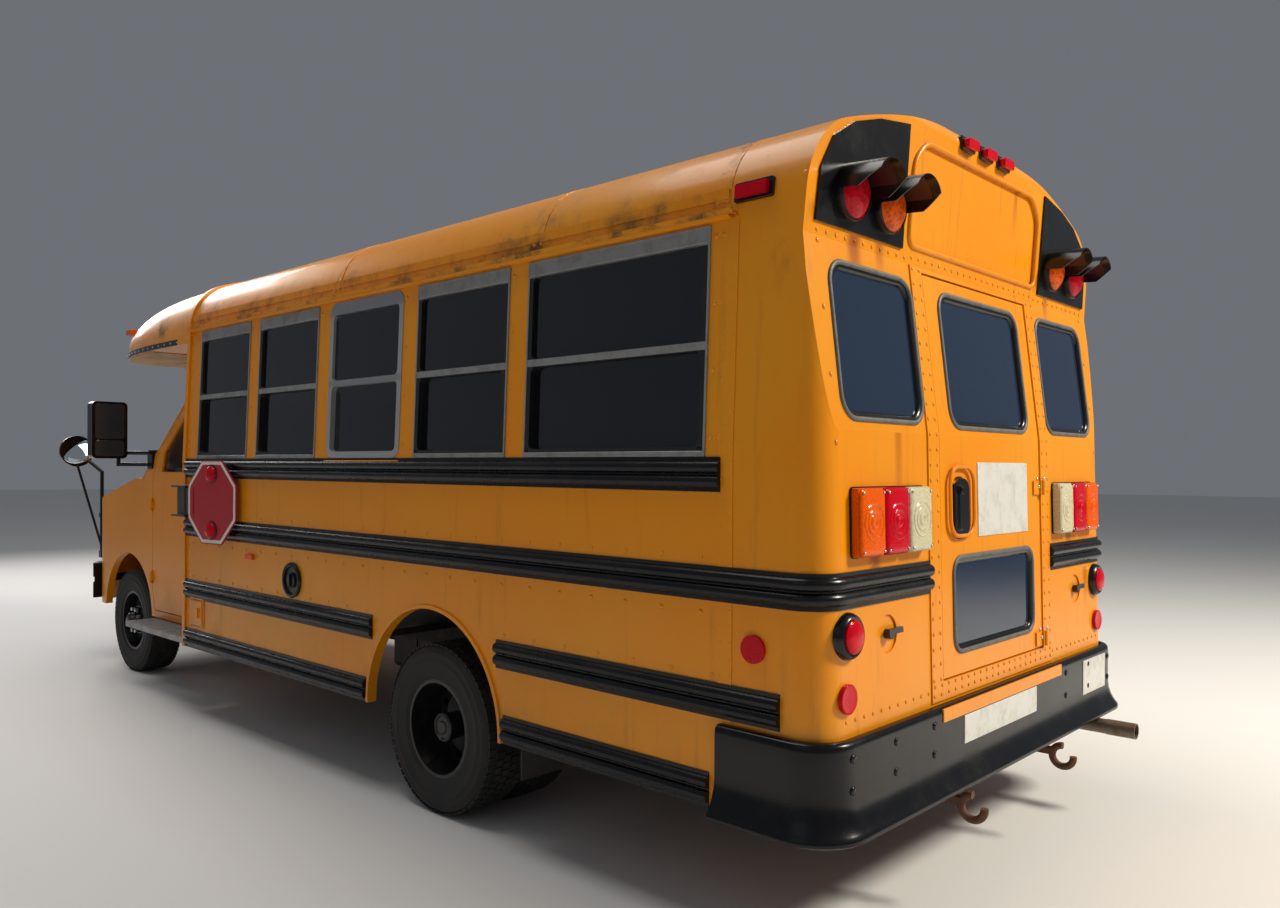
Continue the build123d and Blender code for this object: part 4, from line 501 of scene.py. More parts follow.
def head_lens():
    """Headlamp glass over a bright bowl, with an amber turn lamp at its outer end."""
    cover = Finish("headlamp_lens", roughness=0.08, coat_weight=1.0)
    turn_lamp = abs(cover.axis("Y")) > TURN_LAMP_Y
    cover.set("Base Color", cover.mix(turn_lamp, (0.62, 0.65, 0.68), (0.80, 0.16, 0.004)))
    cover.set("Metallic", (1 - turn_lamp) * 0.55)
    cover.bump(cover.cells(42.0, stretch=(1, 1, 0.25)) * 0.003)
    return cover


RED_LENS = lens("red_lens", RED)
AMBER_LENS = lens("amber_lens", AMBER)
SMALL_LENS = lens("small_lamp_lens")
# The hood sheets' dark red and amber are a painted reflection of the lens in painted shade under the hood;
# the red one also colours the rings round the sign's lamps.
RED_PAINTED_REFLECTION_AND_RIM = worn("red_painted_reflection_and_rim", (0.045, 0.002, 0.003), (0.012, 0.003, 0.003), 0.4, 0.5, 20.0)
AMBER_PAINTED_REFLECTION = worn("amber_painted_reflection", (0.10, 0.018, 0.001), (0.02, 0.008, 0.002), 0.4, 0.5, 20.0)
WARNING_LENS = warning_lens()
HEAD_LENS = head_lens()
print("lenses", RED_LENS.material.name, SMALL_LENS.material.name)

# %% [markdown]
# ### Pieces that wear two finishes
# The window frames are black, with a header and a middle rail in dull aluminium, and the push-out
# frame of the third window is bright all over. Among the fittings, the filler cup, the latches and
# the sign's bracket are black and the rest is yellow. The stop sign's red face has a white border,
# found as an octagon's distance from its middle.

# %% masks on frames, fittings and the sign
SIGN_TILT = math.radians(8)
SIGN_PIVOT = (along(2.262), 1.322, 1.290)
SIGN_REACH = 0.265
SIGN_BORDER = (0.211, 0.229)
SIGN_EDGE = 0.2365
SLANT = 0.7071
PUSH_OUT_ENDS = (0.226, 0.872)
HEADER_Z = 2.226
MIDDLE_RAIL = (1.884, 1.911)
CUP_R_SQUARED = 0.0095
BRACKET_Z = 1.15


def frame_finish():
    """Black with aluminium rails; the push-out window's frame is bright all over."""
    frames = Finish("window_aluminium")
    first, last = (along(end) for end in PUSH_OUT_ENDS)
    third = (frames.axis("X") > first) * (frames.axis("X") < last)
    blot = frames.noise(16.0, 6.0, 0.7).ramp(0.4, 0.75)
    level = frames.axis("Z")
    rails = (level > HEADER_Z) + (level > MIDDLE_RAIL[0]) * (level < MIDDLE_RAIL[1])
    dull = frames.mix((blot * 0.6).clip(), (0.36, 0.36, 0.35), (0.16, 0.15, 0.13))
    dark = frames.mix(rails.clip(), (0.006, 0.006, 0.0065), dull)
    frames.set("Base Color", frames.mix(third, dark, (0.44, 0.445, 0.45)))
    frames.set("Metallic", ((third + rails) * 0.6).clip())
    frames.set("Roughness", (0.36 + blot * 0.2).clip())
    return frames


def fitting_finish():
    """Yellow fittings, but a black filler cup, black latches and a black sign bracket."""
    fittings = Finish("fittings_mixed", coat_weight=0.2)
    x, z = fittings.axis("X"), fittings.axis("Z")
    filler_x, filler_z = FILLER
    cup = ((x - along(filler_x)) ** 2 + (z - filler_z) ** 2) < CUP_R_SQUARED
    latch = x < AT_THE_REAR
    bracket = (z > BRACKET_Z).clip()
    black = (cup + latch + bracket).clip()
    fittings.set("Base Color", fittings.mix(black, YELLOW, (0.012, 0.012, 0.012)))
    fittings.set("Roughness", (0.3 + fittings.noise(14.0) * 0.25).clip())
    return fittings


def sign_finish():
    """A red octagon with a white border, on a black arm."""
    sign = Finish("stop_sign_face", coat_weight=0.1)
    pivot_x, pivot_y, pivot_z = SIGN_PIVOT
    reach = (sign.axis("X") - pivot_x) * math.cos(SIGN_TILT)
    reach = reach + (sign.axis("Y") - pivot_y) * math.sin(SIGN_TILT)
    across = abs(reach + SIGN_REACH)
    rise = abs(sign.axis("Z") - pivot_z)
    far = across.maths("MAXIMUM", across, rise)
    far = far.maths("MAXIMUM", far, (across + rise) * SLANT)
    border = (far > SIGN_BORDER[0]) * (far < SIGN_BORDER[1])
    face = sign.mix(border, (0.42, 0.006, 0.014), (0.70, 0.68, 0.64))
    arm = far > SIGN_EDGE
    wear = sign.noise(22.0, 6.0, 0.75).ramp(0.55, 0.8) * 0.3
    colour = sign.mix(arm, face, (0.015, 0.015, 0.016))
    sign.set("Base Color", sign.mix(wear.clip(), colour, (0.12, 0.06, 0.05)))
    sign.set("Roughness", (0.3 + wear).clip())
    return sign


FRAMES = frame_finish()
FITTINGS = fitting_finish()
SIGN = sign_finish()
print("masked finishes ready")

# %% [markdown]
# ## Dress the CAD pieces
# The nodes from the CAD frame get these finishes in their own material slots, and their shapes stay
# as they are. The tyres and the seats are left out, because finer pieces made below stand for them.

# %% assign the finishes
WEAR = {
    CHASSIS: ["frame_rails", "front_suspension", "rear_axle"],
    IRON: ["engine_block", "knuckle_left", "knuckle_right"],
    TANK: ["fuel_tank"],
    PIPE: ["exhaust"],
    HOOK: ["tow_hooks"],
    RUBBER: ["mud_flaps"],
    RIM: ["rim_front_left", "rim_front_right", "rims_rear_left", "rims_rear_right"],
    BODY_PAINT: ["side_wall_left", "side_wall_right", "rear_wall", "front_wall", "emergency_door"],
    ROOF_PAINT: ["roof", "front_cap"],
    CAB_PAINT: ["cab_shell", "hood", "cab_door_left", "entry_frame", "entry_leaf_rear", "entry_leaf_front"],
    FLOOR_MAT: ["bus_floor"],
    RAIL_BLACK: ["rub_rails"],
    BUMPER_BLACK: ["rear_bumper", "front_bumper"],
    TRIM_BLACK: ["grille", "lamp_panels", "mirrors", "steering_wheel"],
    FRAMES: ["window_frames"],
    DARK_GLASS: ["window_glass", "emergency_glass"],
    CLEAR_GLASS: ["windscreen", "cab_door_glass", "entry_glass_rear", "entry_glass_front"],
    SEAL: ["rear_seals", "emergency_seals"],
    HEAD_LENS: ["headlamps"],
    DASH: ["dashboard"],
    STEEL_PAINT: ["seat_frames"],
    DULL_ALUMINIUM: ["running_board"],
    WARNING_LENS: ["warning_lamps"],
    SMALL_LENS: ["small_lamps"],
    FITTINGS: ["fittings"],
    SIGN: ["stop_arm"],
}
for finish, names in WEAR.items():
    for name in names:
        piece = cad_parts[name]
        if not piece.material_slots:
            piece.data.materials.append(finish.material)
        for place in piece.material_slots:
            place.material = finish.material
        for face in piece.data.polygons:
            face.material_index = 0
bare = set(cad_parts) - {n for names in WEAR.values() for n in names}
print("nodes not dressed here:", sorted(bare))

# %% [markdown]
# ## Solids by code
# `Form` gathers simple shapes in one mesh: a stack of outlines skinned into a solid, a turned
# profile, a round tube along points. `done` cleans the mesh, gives it a finish and lets it ride on
# a body. A `Skin` fires rays at the CAD pieces, so trim sits on the real surface, not near it.

# %% Form: outlines, lathe, plates and tubes
def rounded(width, height, radius, steps=5):
    """Corner-rounded rectangle as points round its middle."""
    radius = max(0.0002, min(radius, width / 2 - 1e-5, height / 2 - 1e-5))
    points = []
    for quarter, (sx, sy) in enumerate(((1, 1), (-1, 1), (-1, -1), (1, -1))):
        for i in range(steps + 1):
            a = math.pi / 2 * (quarter + i / steps)
            cx = sx * (width / 2 - radius)
            cy = sy * (height / 2 - radius)
            points.append((cx + radius * math.cos(a), cy + radius * math.sin(a)))
    return points


def shrunk(width, height, radius, inset, steps=5):
    """The same rectangle, drawn in by an inset all round."""
    return rounded(width - 2 * inset, height - 2 * inset, radius - inset, steps)


def circle(radius, steps=32):
    angles = [math.tau * i / steps for i in range(steps)]
    return [(radius * math.cos(a), radius * math.sin(a)) for a in angles]


def facing(spot, up, out):
    """A place at a spot whose Y points up and whose Z points out."""
    return Matrix.Translation(spot) @ Matrix((up.cross(out), up, out)).transposed().to_4x4()


class Form:
    """Simple shapes gathered in one mesh."""

    def __init__(self):
        self.bm = bmesh.new()

    def bridge(self, rows, caps=True, loop=False):
        """Faces between closed rows of points, and over both ends."""
        pairs = list(zip(rows, rows[1:])) + ([(rows[-1], rows[0])] if loop else [])
        for low, high in pairs:
            for i in range(len(low)):
                j = (i + 1) % len(low)
                self.bm.faces.new((low[i], low[j], high[j], high[i]))
        if caps and not loop:
            self.bm.faces.new(rows[0][::-1])
            self.bm.faces.new(rows[-1])

    def stack(self, place, rings, caps=True, loop=False):
        """Skin a stack of outlines: each ring is (points in x and y, height)."""
        rows = []
        for ring, height in rings:
            rows.append([self.bm.verts.new(place @ Vector((x, y, height))) for x, y in ring])
        self.bridge(rows, caps, loop)

    def lathe(self, place, profile, steps=32, loop=False):
        """Turn (radius, height) points round the place's Z."""
        rings = [(circle(max(r, 1e-6), steps), h) for r, h in profile]
        self.stack(place, rings, not loop, loop)

    def plate(self, place, width, height, thick, radius=0.004, edge=0.0015, sink=0.002):
        """A plate with softened edges, a little sunk into what it lies on."""
        small = rounded(width - 2 * edge, height - 2 * edge, max(radius - edge, 0.0003))
        full = rounded(width, height, radius)
        self.stack(place, [(full, -sink), (full, thick - edge), (small, thick)])

    def hoop(self, place, width, height, radius, band, thick, edge=0.0012, sink=0.002):
        """A flat frame round an opening."""
        outer, soft, inner_soft, inner = (
            shrunk(width, height, radius, inset) for inset in (0, edge, band - edge, band)
        )
        rings = [(outer, -sink), (outer, thick - edge), (soft, thick)]
        rings += [(inner_soft, thick), (inner, thick - edge), (inner, -sink)]
        self.stack(place, rings, caps=False, loop=True)

    def block(self, low, high, edge=0.002):
        """An upright box between two corners."""
        low, high = Vector(low), Vector(high)
        size = high - low
        place = Matrix.Translation(((low.x + high.x) / 2, (low.y + high.y) / 2, low.z))
        full = rounded(size.x, size.y, edge, 1)
        small = rounded(size.x - edge, size.y - edge, edge / 2, 1)
        rings = [(small, 0), (full, edge / 2), (full, size.z - edge / 2), (small, size.z)]
        self.stack(place, rings)

    def tube(self, points, radius, steps=8, loop=False):
        """A round bar along points."""
        points = [Vector(p) for p in points]
        count = len(points)
        rows = []
        side = None
        for i, p in enumerate(points):
            before = points[(i - 1) % count] if loop or i else p
            after = points[(i + 1) % count] if loop or i < count - 1 else p
            way = (after - before).normalized()
            if side is None:
                side = way.orthogonal().normalized()
            side = (side - way * side.dot(way)).normalized()
            up = way.cross(side)
            spokes = [side * radius * c + up * radius * s for c, s in circle(1.0, steps)]
            rows.append([self.bm.verts.new(p + spoke) for spoke in spokes])
        self.bridge(rows, loop=loop)

    def strap(self, seats, across, width, thick, sink=0.002):
        """A flat band along seats on a surface; across is the band's width direction."""
        across = Vector(across).normalized()
        rows = []
        side = across * width / 2
        for p, out in seats:
            foot, top = out * sink, out * thick
            corners = (p - side - foot, p - side + top, p + side + top, p + side - foot)
            rows.append([self.bm.verts.new(corner) for corner in corners])
        self.bridge(rows)

    def done(self, name, body, finish, angle=38):
        """Clean the mesh, make a piece of it and let it ride on a body."""
        bmesh.ops.remove_doubles(self.bm, verts=self.bm.verts, dist=2e-6)
        bmesh.ops.recalc_face_normals(self.bm, faces=self.bm.faces)
        mesh = bpy.data.meshes.new(name)
        self.bm.to_mesh(mesh)
        self.bm.free()
        mesh.polygons.foreach_set("use_smooth", [True] * len(mesh.polygons))
        mesh.set_sharp_from_angle(angle=math.radians(angle))
        mesh.materials.append(finish.material)
        piece = bpy.data.objects.new(name, mesh)
        bpy.context.scene.collection.objects.link(piece)
        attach(piece, body)
        return piece


class Skin:
    """Rays against some CAD nodes: where a surface is and which way it faces."""

    def __init__(self, *names):
        points, faces = [], []
        for name in names:
            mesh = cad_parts[name].data
            start = len(points)
            points += [v.co.copy() for v in mesh.vertices]
            faces += [[start + i for i in face.vertices] for face in mesh.polygons]
        self.tree = BVHTree.FromPolygons(points, faces)

    def touch(self, start, way):
        """Where a ray meets the surface, and which way the surface faces there."""
        way = Vector(way).normalized()
        spot, out, _, _ = self.tree.ray_cast(Vector(start), way)
        if spot is None:
            return None
        return spot, (-out if out.dot(way) > 0 else out)

    def seat(self, start, way, lift=0.0):
        """A place on the surface: Z out of it, Y as near to upwards as it can be."""
        spot, out = self.touch(start, way)
        level = (UP - out * out.dot(UP)).normalized()
        return facing(spot + out * lift, level, out)

    def run(self, start, end, way, step=0.03):
        """Seats from start to end, split where the surface breaks off."""
        start, end = Vector(start), Vector(end)
        count = max(2, int((end - start).length / step) + 1)
        runs, current = [], []
        for i in range(count):
            seat = self.touch(start.lerp(end, i / (count - 1)), way)
            if seat and current and (seat[0] - current[-1][0]).length > 2.6 * step:
                runs.append(current)
                current = []
            if seat:
                current.append(seat)
            elif current:
                runs.append(current)
                current = []
        runs.append(current)
        return [r for r in runs if len(r) > 1]


LEFT = Skin("side_wall_left", "roof", "rear_wall")
RIGHT = Skin("side_wall_right", "roof", "rear_wall")
REAR = Skin("rear_wall", "emergency_door")
SIDES = ((1, LEFT), (-1, RIGHT))


def side_seat(side, x, z, lift=0.0):
    return (LEFT if side > 0 else RIGHT).seat((along(x), side * 2.0, z), (0, -side, 0), lift)


def side_line(skin, side, start, end, step=0.03):
    """Runs of seats on one side between two (x, z), with x ahead of the rear axle."""
    ends = [(along(x), side * 2, z) for x, z in (start, end)]
    return skin.run(*ends, (0, -side, 0), step)


def rear_touch(y, z):
    return REAR.touch((BEHIND_THE_BUS, y, z), FORWARD)


def rear_seat(y, z, lift=0.0, skin=REAR):
    return skin.seat((BEHIND_THE_BUS, y, z), FORWARD, lift)


def rear_line(start, end):
    """Runs of seats on the rear between two (y, z)."""
    return REAR.run((BEHIND_THE_BUS, *start), (BEHIND_THE_BUS, *end), FORWARD)


print("rear wall is at", [round(v, 3) for v in rear_seat(0.9, 1.3).translation])

# %% [markdown]
# ## Things that repeat, grown by Geometry Nodes
# Rivets, bolts and tread blocks are one shape many times over. The script only lays out guide lines
# on the surface. Each point of a guide carries two attributes: `out`, away from the surface, and
# `along`, down the line. A node tree then spaces copies by a pitch, turns each one to those
# attributes, varies its size a little and gives it its finish.

# %% one tree that spaces copies along guide lines
def repeat_tree(name, item, spaced=True):
    """A node tree that puts one shape on points, or at a pitch along lines."""
    tree = bpy.data.node_groups.new(name, "GeometryNodeTree")
    face = tree.interface
    face.new_socket("Geometry", in_out="INPUT", socket_type="NodeSocketGeometry")
    for label, kind, value in (
        ("Pitch", "NodeSocketFloat", 0.05),
        ("Size", "NodeSocketVector", (0.01, 0.01, 0.01)),
        ("Variation", "NodeSocketFloat", 0.08),
        ("Seed", "NodeSocketInt", 7),
        ("Finish", "NodeSocketMaterial", None),
    ):
        socket = face.new_socket(label, in_out="INPUT", socket_type=kind)
        if value is not None:
            socket.default_value = value
    face.new_socket("Geometry", in_out="OUTPUT", socket_type="NodeSocketGeometry")
    given = put(tree, "NodeGroupInput").outputs
    points = given["Geometry"]
    if spaced:
        curve = put(tree, "GeometryNodeMeshToCurve", None, {"Mesh": points}).outputs[0]
        inputs = {"Curve": curve, "Length": given["Pitch"]}
        points = put(tree, "GeometryNodeResampleCurve", {"mode": "LENGTH"}, inputs).outputs[0]
    turned = None
    for label, axis, pivot in (("out", "Z", "AUTO"), ("along", "X", "Z")):
        settings = {"data_type": "FLOAT_VECTOR"}
        read = put(tree, "GeometryNodeInputNamedAttribute", settings, {"Name": label})
        inputs = {"Vector": read.outputs["Attribute"]}
        if turned:
            inputs["Rotation"] = turned
        settings = {"axis": axis, "pivot_axis": pivot}
        turned = put(tree, "FunctionNodeAlignRotationToVector", settings, inputs).outputs[0]
    if item == "dome":
        sizes = {"Segments": 8, "Rings": 5, "Radius": 0.5}
        shape = put(tree, "GeometryNodeMeshUVSphere", None, sizes)
    elif item == "hex":
        sizes = {"Vertices": 6, "Radius": 0.5, "Depth": 1.0}
        shape = put(tree, "GeometryNodeMeshCylinder", None, sizes)
    else:
        shape = put(tree, "GeometryNodeMeshCube", None, {"Size": (1.0, 1.0, 1.0)})
    spread = Signal(tree, given["Variation"])
    span = {2: 1 - spread, 3: 1 + spread, "Seed": given["Seed"]}
    chance = put(tree, "FunctionNodeRandomValue", {"data_type": "FLOAT"}, span)
    inputs = {0: given["Size"], "Scale": chance.outputs[1]}
    grown = put(tree, "ShaderNodeVectorMath", {"operation": "SCALE"}, inputs)
    inputs = {"Points": points, "Instance": shape.outputs["Mesh"]}
    inputs.update({"Rotation": turned, "Scale": grown.outputs[0]})
    copies = put(tree, "GeometryNodeInstanceOnPoints", None, inputs)
    real = put(tree, "GeometryNodeRealizeInstances", None, {"Geometry": copies.outputs[0]})
    inputs = {"Geometry": real.outputs[0], "Material": given["Finish"]}
    done = put(tree, "GeometryNodeSetMaterial", None, inputs)
    put(tree, "NodeGroupOutput", None, {"Geometry": done.outputs[0]})
    return tree


RIVET_LINES = repeat_tree("rivets_on_lines", "dome")
BLOCK_LINES = repeat_tree("blocks_on_lines", "block")
DOME_POINTS = repeat_tree("domes_on_points", "dome", spaced=False)
HEX_POINTS = repeat_tree("nuts_on_points", "hex", spaced=False)


def guide(name, runs, loop=False):
    """A mesh of edge lines; each seat is (spot, out)."""
    points, edges, outs, alongs = [], [], [], []
    for run in runs:
        start = len(points)
        count = len(run)
        for i, (spot, out) in enumerate(run):
            after = run[(i + 1) % count][0] if loop else run[min(i + 1, count - 1)][0]
            before = run[i - 1][0] if loop or i else spot
            way = after - before
            points.append(spot)
            outs += list(out)
            alongs += list(way.normalized() if way.length > 1e-9 else out.orthogonal().normalized())
        edges += [(start + i, start + i + 1) for i in range(count - 1)]
        if loop:
            edges.append((start + count - 1, start))
    mesh = bpy.data.meshes.new(name)
    mesh.from_pydata(points, edges, [])
    mesh.attributes.new("out", "FLOAT_VECTOR", "POINT").data.foreach_set("vector", outs)
    mesh.attributes.new("along", "FLOAT_VECTOR", "POINT").data.foreach_set("vector", alongs)
    thing = bpy.data.objects.new(name, mesh)
    bpy.context.scene.collection.objects.link(thing)
    return thing


def grow(thing, tree, body, smooth=True, **inputs):
    """Run the tree on the guide, keep the result as a plain mesh and let it ride on a body."""
    modifier = thing.modifiers.new("grow", "NODES")
    modifier.node_group = tree
    names = {i.name: i.identifier for i in tree.interface.items_tree if i.in_out == "INPUT"}
    for label, value in inputs.items():
        modifier[names[label]] = value.material if isinstance(value, Finish) else value
    graph = bpy.context.evaluated_depsgraph_get()
    mesh = bpy.data.meshes.new_from_object(thing.evaluated_get(graph))
    thing.modifiers.remove(modifier)
    thing.data = mesh
    mesh.polygons.foreach_set("use_smooth", [smooth] * len(mesh.polygons))
    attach(thing, body)
    print(thing.name, len(mesh.polygons), "faces on", body)


def studs(name, seats, body, wide, high, finish, tree=DOME_POINTS, smooth=True):
    """One round head, or a nut, on every seat."""
    size = (wide, wide, high)
    heads = guide(name, [[seat] for seat in seats])
    grow(heads, tree, body, smooth, Size=size, Variation=0.0, Finish=finish)


print("trees", [g.name for g in bpy.data.node_groups])

# %% [markdown]
# ## Seams and straps
# The roof and walls are made of sheets that overlap under narrow straps. Straps run over the roof
# from gutter to gutter and down the wall at the rear, with a row of rivets along each edge.

# %% roof and wall straps
def over_roof(x, low=21.0, steps=56):
    """Seats over the roof at one X, from gutter to gutter, by rays towards its middle."""
    seats = []
    for i in range(steps + 1):
        a = math.radians(low + (180 - 2 * low) * i / steps)
        start = (x, 3 * math.cos(a), 1.9 + 3 * math.sin(a))
        seat = ROOF.touch(start, (0, -math.cos(a), -math.sin(a)))
        if seat:
            seats.append(seat)
    return seats


ROOF = Skin("roof", "front_cap", "rear_wall", "front_wall")
ROOF_STRAPS = (-1.560, -0.655, 0.826)
WALL_STRAP = ((-1.600, 0.425), (-1.600, 2.300))
straps = Form()
rivet_lines = []
for x in ROOF_STRAPS:
    straps.strap(over_roof(along(x)), FORWARD, 0.060, 0.0028)
    for dx in (-0.018, 0.018):
        rivet_lines.append(over_roof(along(x) + dx))
straps.done("roof_straps", "bus", ROOF_PAINT)
walls = Form()
for side, skin in SIDES:
    for run in side_line(skin, side, *WALL_STRAP):
        walls.strap(run, FORWARD, 0.058, 0.0025)
        for dx in (-0.019, 0.019):
            rivet_lines.append([(p + Vector((dx, 0, 0)), out) for p, out in run])
walls.done("wall_straps", "bus", BODY_PAINT)
print(len(rivet_lines), "rivet lines so far")

# %% [markdown]
# ## Rivets
# The body is held together by rows of round rivet heads: over the gutter, down each post between
# the windows, along the edges of the rub rails, and round the door and beside the lights at the rear.
# Rows are broken wherever a ray no longer meets the same surface, so none hangs over an opening.

# %% rivet rows on sides, roof and rear
WALL_ROWS = (  # height, both ends, and whether the rivets stand close
    (2.392, -1.90, 2.49, False),
    (1.035, -1.50, 2.40, False),
    (1.214, -1.50, 2.40, False),
    (0.838, 0.50, 2.40, False),
    (0.838, -1.55, -0.50, False),
    (0.430, 0.60, 2.40, True),
)
FIRST_POST = WINDOW_FRONT - WINDOW_WIDE - (WINDOW_PITCH - WINDOW_WIDE) / 2
OFF_POST = 0.036
POST_ROWS = [FIRST_POST - i * WINDOW_PITCH + OFF_POST for i in range(4)]
POST_ROWS += [-1.535, -1.568, 2.395, 2.475]
REAR_ROWS = (  # both ends as (y, z): two beside the door, one under the boards, one over the bumper
    ((0.525, 0.72), (0.525, 2.20)),
    ((0.474, 0.72), (0.474, 2.20)),
    ((0.570, 2.232), (1.12, 2.232)),
    ((0.560, 0.735), (1.09, 0.735)),
)
CORNER_ROW = ((1.118, 1.58), (1.118, 2.20))
ACROSS_DOOR_Z = (2.240, 0.752, 0.722)
FRONT_EDGE_ROW = ((2.475, 0.44), (2.475, 2.28))
POST_ENDS_Z = (1.60, 2.25)
close, wide_apart = rivet_lines, []
for side, skin in SIDES:
    for z, x0, x1, is_close in WALL_ROWS:
        rows = close if is_close else wide_apart
        rows += side_line(skin, side, (x0, z), (x1, z))
    for x in POST_ROWS:
        wide_apart += side_line(skin, side, *((x, z) for z in POST_ENDS_Z))
    close += side_line(skin, side, *FRONT_EDGE_ROW)
    for (y0, z0), (y1, z1) in REAR_ROWS:
        close += rear_line((side * y0, z0), (side * y1, z1))
    wide_apart += rear_line(*((side * y, z) for y, z in CORNER_ROW))
for z in ACROSS_DOOR_Z:
    close += rear_line((-0.52, z), (0.52, z))
for name, rows, pitch, wide in (
    ("rivets_close", close, 0.052, 0.0155),
    ("rivets_apart", wide_apart, 0.165, 0.019),
):
    rivets = guide(name, [r for r in rows if len(r) > 1])
    size = (wide, wide, wide * 0.46)
    grow(rivets, RIVET_LINES, "bus", Pitch=pitch, Size=size, Variation=0.07, Finish=BODY_PAINT)

# %% [markdown]
# Rub rails and bumper carry darker bolts of their own: one row along each rail, and two at each
# place across the bumper.

# %% bolts on the rails and bumper
RAILS = Skin("rub_rails", "rear_bumper")
RAIL_ROWS = (  # lower edge of the rail and both ends
    (1.424, -1.55, 2.46), (1.075, -1.80, 2.46), (0.704, 0.50, 2.46), (0.704, -1.78, -0.50),
    (0.411, 0.55, 2.46), (0.411, -1.50, -0.55),
)
RAIL_BOLT_RISE = 0.056
BUMPER_BOLTS_Y = (-1.12, -0.86, -0.60, 0.60, 0.86, 1.12)
BUMPER_BOLTS_Z = (0.545, 0.640)
bolt_lines = []
for side in (1, -1):
    for base, x0, x1 in RAIL_ROWS:
        z = base + RAIL_BOLT_RISE
        bolt_lines += side_line(RAILS, side, (x0, z), (x1, z), 0.05)
bolts = guide("bolts_rails", bolt_lines)
size = (0.0125, 0.0125, 0.007)
grow(bolts, RIVET_LINES, "bus", Pitch=0.148, Size=size, Variation=0.05, Finish=RAIL_BLACK)
seats = []
for y in BUMPER_BOLTS_Y:
    for z in BUMPER_BOLTS_Z:
        seat = RAILS.touch((BEHIND_THE_BUS, y, z), FORWARD)
        if seat:
            seats.append(seat)
studs("bolts_bumper", seats, "bus", 0.030, 0.012, RAIL_BLACK)

# %% [markdown]
# ## Tyres and wheels
# The CAD tyre is a smooth closed ring. The finished one is turned from a finer section with ridges
# on its sidewall, and its tread blocks are grown on five rings. Rings next to each other start half
# a block apart, so that the grooves stagger.

# %% tyres, tread blocks and wheel nuts
TYRE_SECTION = [
    (0.212, 0.088), (0.208, 0.096), (0.222, 0.1045), (0.226, 0.1075), (0.232, 0.1065), (0.262, 0.1105),
    (0.288, 0.1115), (0.291, 0.1130), (0.297, 0.1130), (0.300, 0.1112), (0.322, 0.1095), (0.325, 0.1108),
    (0.330, 0.1102), (0.333, 0.1078), (0.345, 0.1030), (0.354, 0.0960), (0.3585, 0.0850), (0.3600, 0.0600),
    (0.3605, 0.0),
]
TREAD_RINGS = ((-0.083, 0.3605), (-0.0415, 0.3635), (0.0, 0.3640), (0.0415, 0.3635), (0.083, 0.3605))
TREAD_BLOCK = (0.0285, 0.0335, 0.0078)
TREAD_PITCH = 0.0362
RING_STEPS = 90
NUT_CIRCLE = 0.0825
HUB_FRONT = [(0.058, -0.004), (0.058, 0.010), (0.050, 0.018), (0.046, 0.040), (0.034, 0.048), (0.0, 0.050)]
HUB_REAR = [
    (0.062, -0.004), (0.062, 0.030), (0.054, 0.036), (0.050, 0.036), (0.046, 0.030), (0.030, 0.030),
    (0.024, 0.036), (0.0, 0.037),
]


def axle_place(x, y, side):
    """Wheel frame: Z along the axle towards the outside."""
    turn = Matrix(((-side, 0, 0), (0, 0, side), (0, 1, 0))).to_4x4()
    return Matrix.Translation((x, y, TYRE_R)) @ turn


def tread_ring(place, row):
    """Seats round one ring of tread blocks; every second ring is shifted."""
    across, radius = TREAD_RINGS[row]
    ring = []
    for i in range(RING_STEPS):
        a = math.tau * (i + 0.75 * (row % 2)) / RING_STEPS
        out = Vector((math.cos(a), math.sin(a), 0))
        ring.append((place @ (out * radius + Vector((0, 0, across))), place.to_3x3() @ out))
    return ring


WHEELS = []  # body, tyre and rim, reading of x, side, distances of the tyres, nuts and hub
for side, word in ((1, "left"), (-1, "right")):
    front = (f"wheel_front_{word}", f"tyre_front_{word}", f"rim_front_{word}", FRONT_AXLE_X, side)
    rear = (f"wheels_rear_{word}", f"tyres_rear_{word}", f"rims_rear_{word}", 0, side)
    WHEELS.append((*front, (0.870,), BRIGHT_BOLT, HUB_FRONT))
    WHEELS.append((*rear, (1.079, 0.813), RIM, HUB_REAR))
section = TYRE_SECTION + [(r, -h) for r, h in TYRE_SECTION[-2::-1]]
for body, node, rim, reading, side, places, metal, hub_profile in WHEELS:
    x = along(reading)
    carcass = Form()
    rings = []
    for y in places:
        place = axle_place(x, side * y, side)
        carcass.lathe(place, section, 96, loop=True)
        rings += [tread_ring(place, row) for row in range(len(TREAD_RINGS))]
    tyre = carcass.done(f"tyre_{body}", body, TYRE, 50)
    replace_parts(tyre, node)
    tread = guide(f"tread_{body}", rings, loop=True)
    block = {"Pitch": TREAD_PITCH, "Size": TREAD_BLOCK, "Variation": 0.02, "Finish": TYRE}
    grow(tread, BLOCK_LINES, body, smooth=False, **block)
    outer, inward = side * (places[0] + 0.5), (0, -side, 0)
    disc = Skin(rim)
    nuts = []
    for i in range(8):
        a = math.tau * (i + 0.5) / 8
        start = (x + NUT_CIRCLE * math.cos(a), outer, TYRE_R + NUT_CIRCLE * math.sin(a))
        spot, out = disc.touch(start, inward)
        nuts.append((spot + out * 0.008, out))
    studs(f"nuts_{body}", nuts, body, 0.027, 0.020, metal, HEX_POINTS, smooth=False)
    middle = disc.touch((x, outer, TYRE_R), inward)[0]
    hub = Form()
    hub.lathe(axle_place(x, middle.y, side), hub_profile, 32)
    hub.done(f"hub_{body}", body, RIM)
print("four wheels dressed")

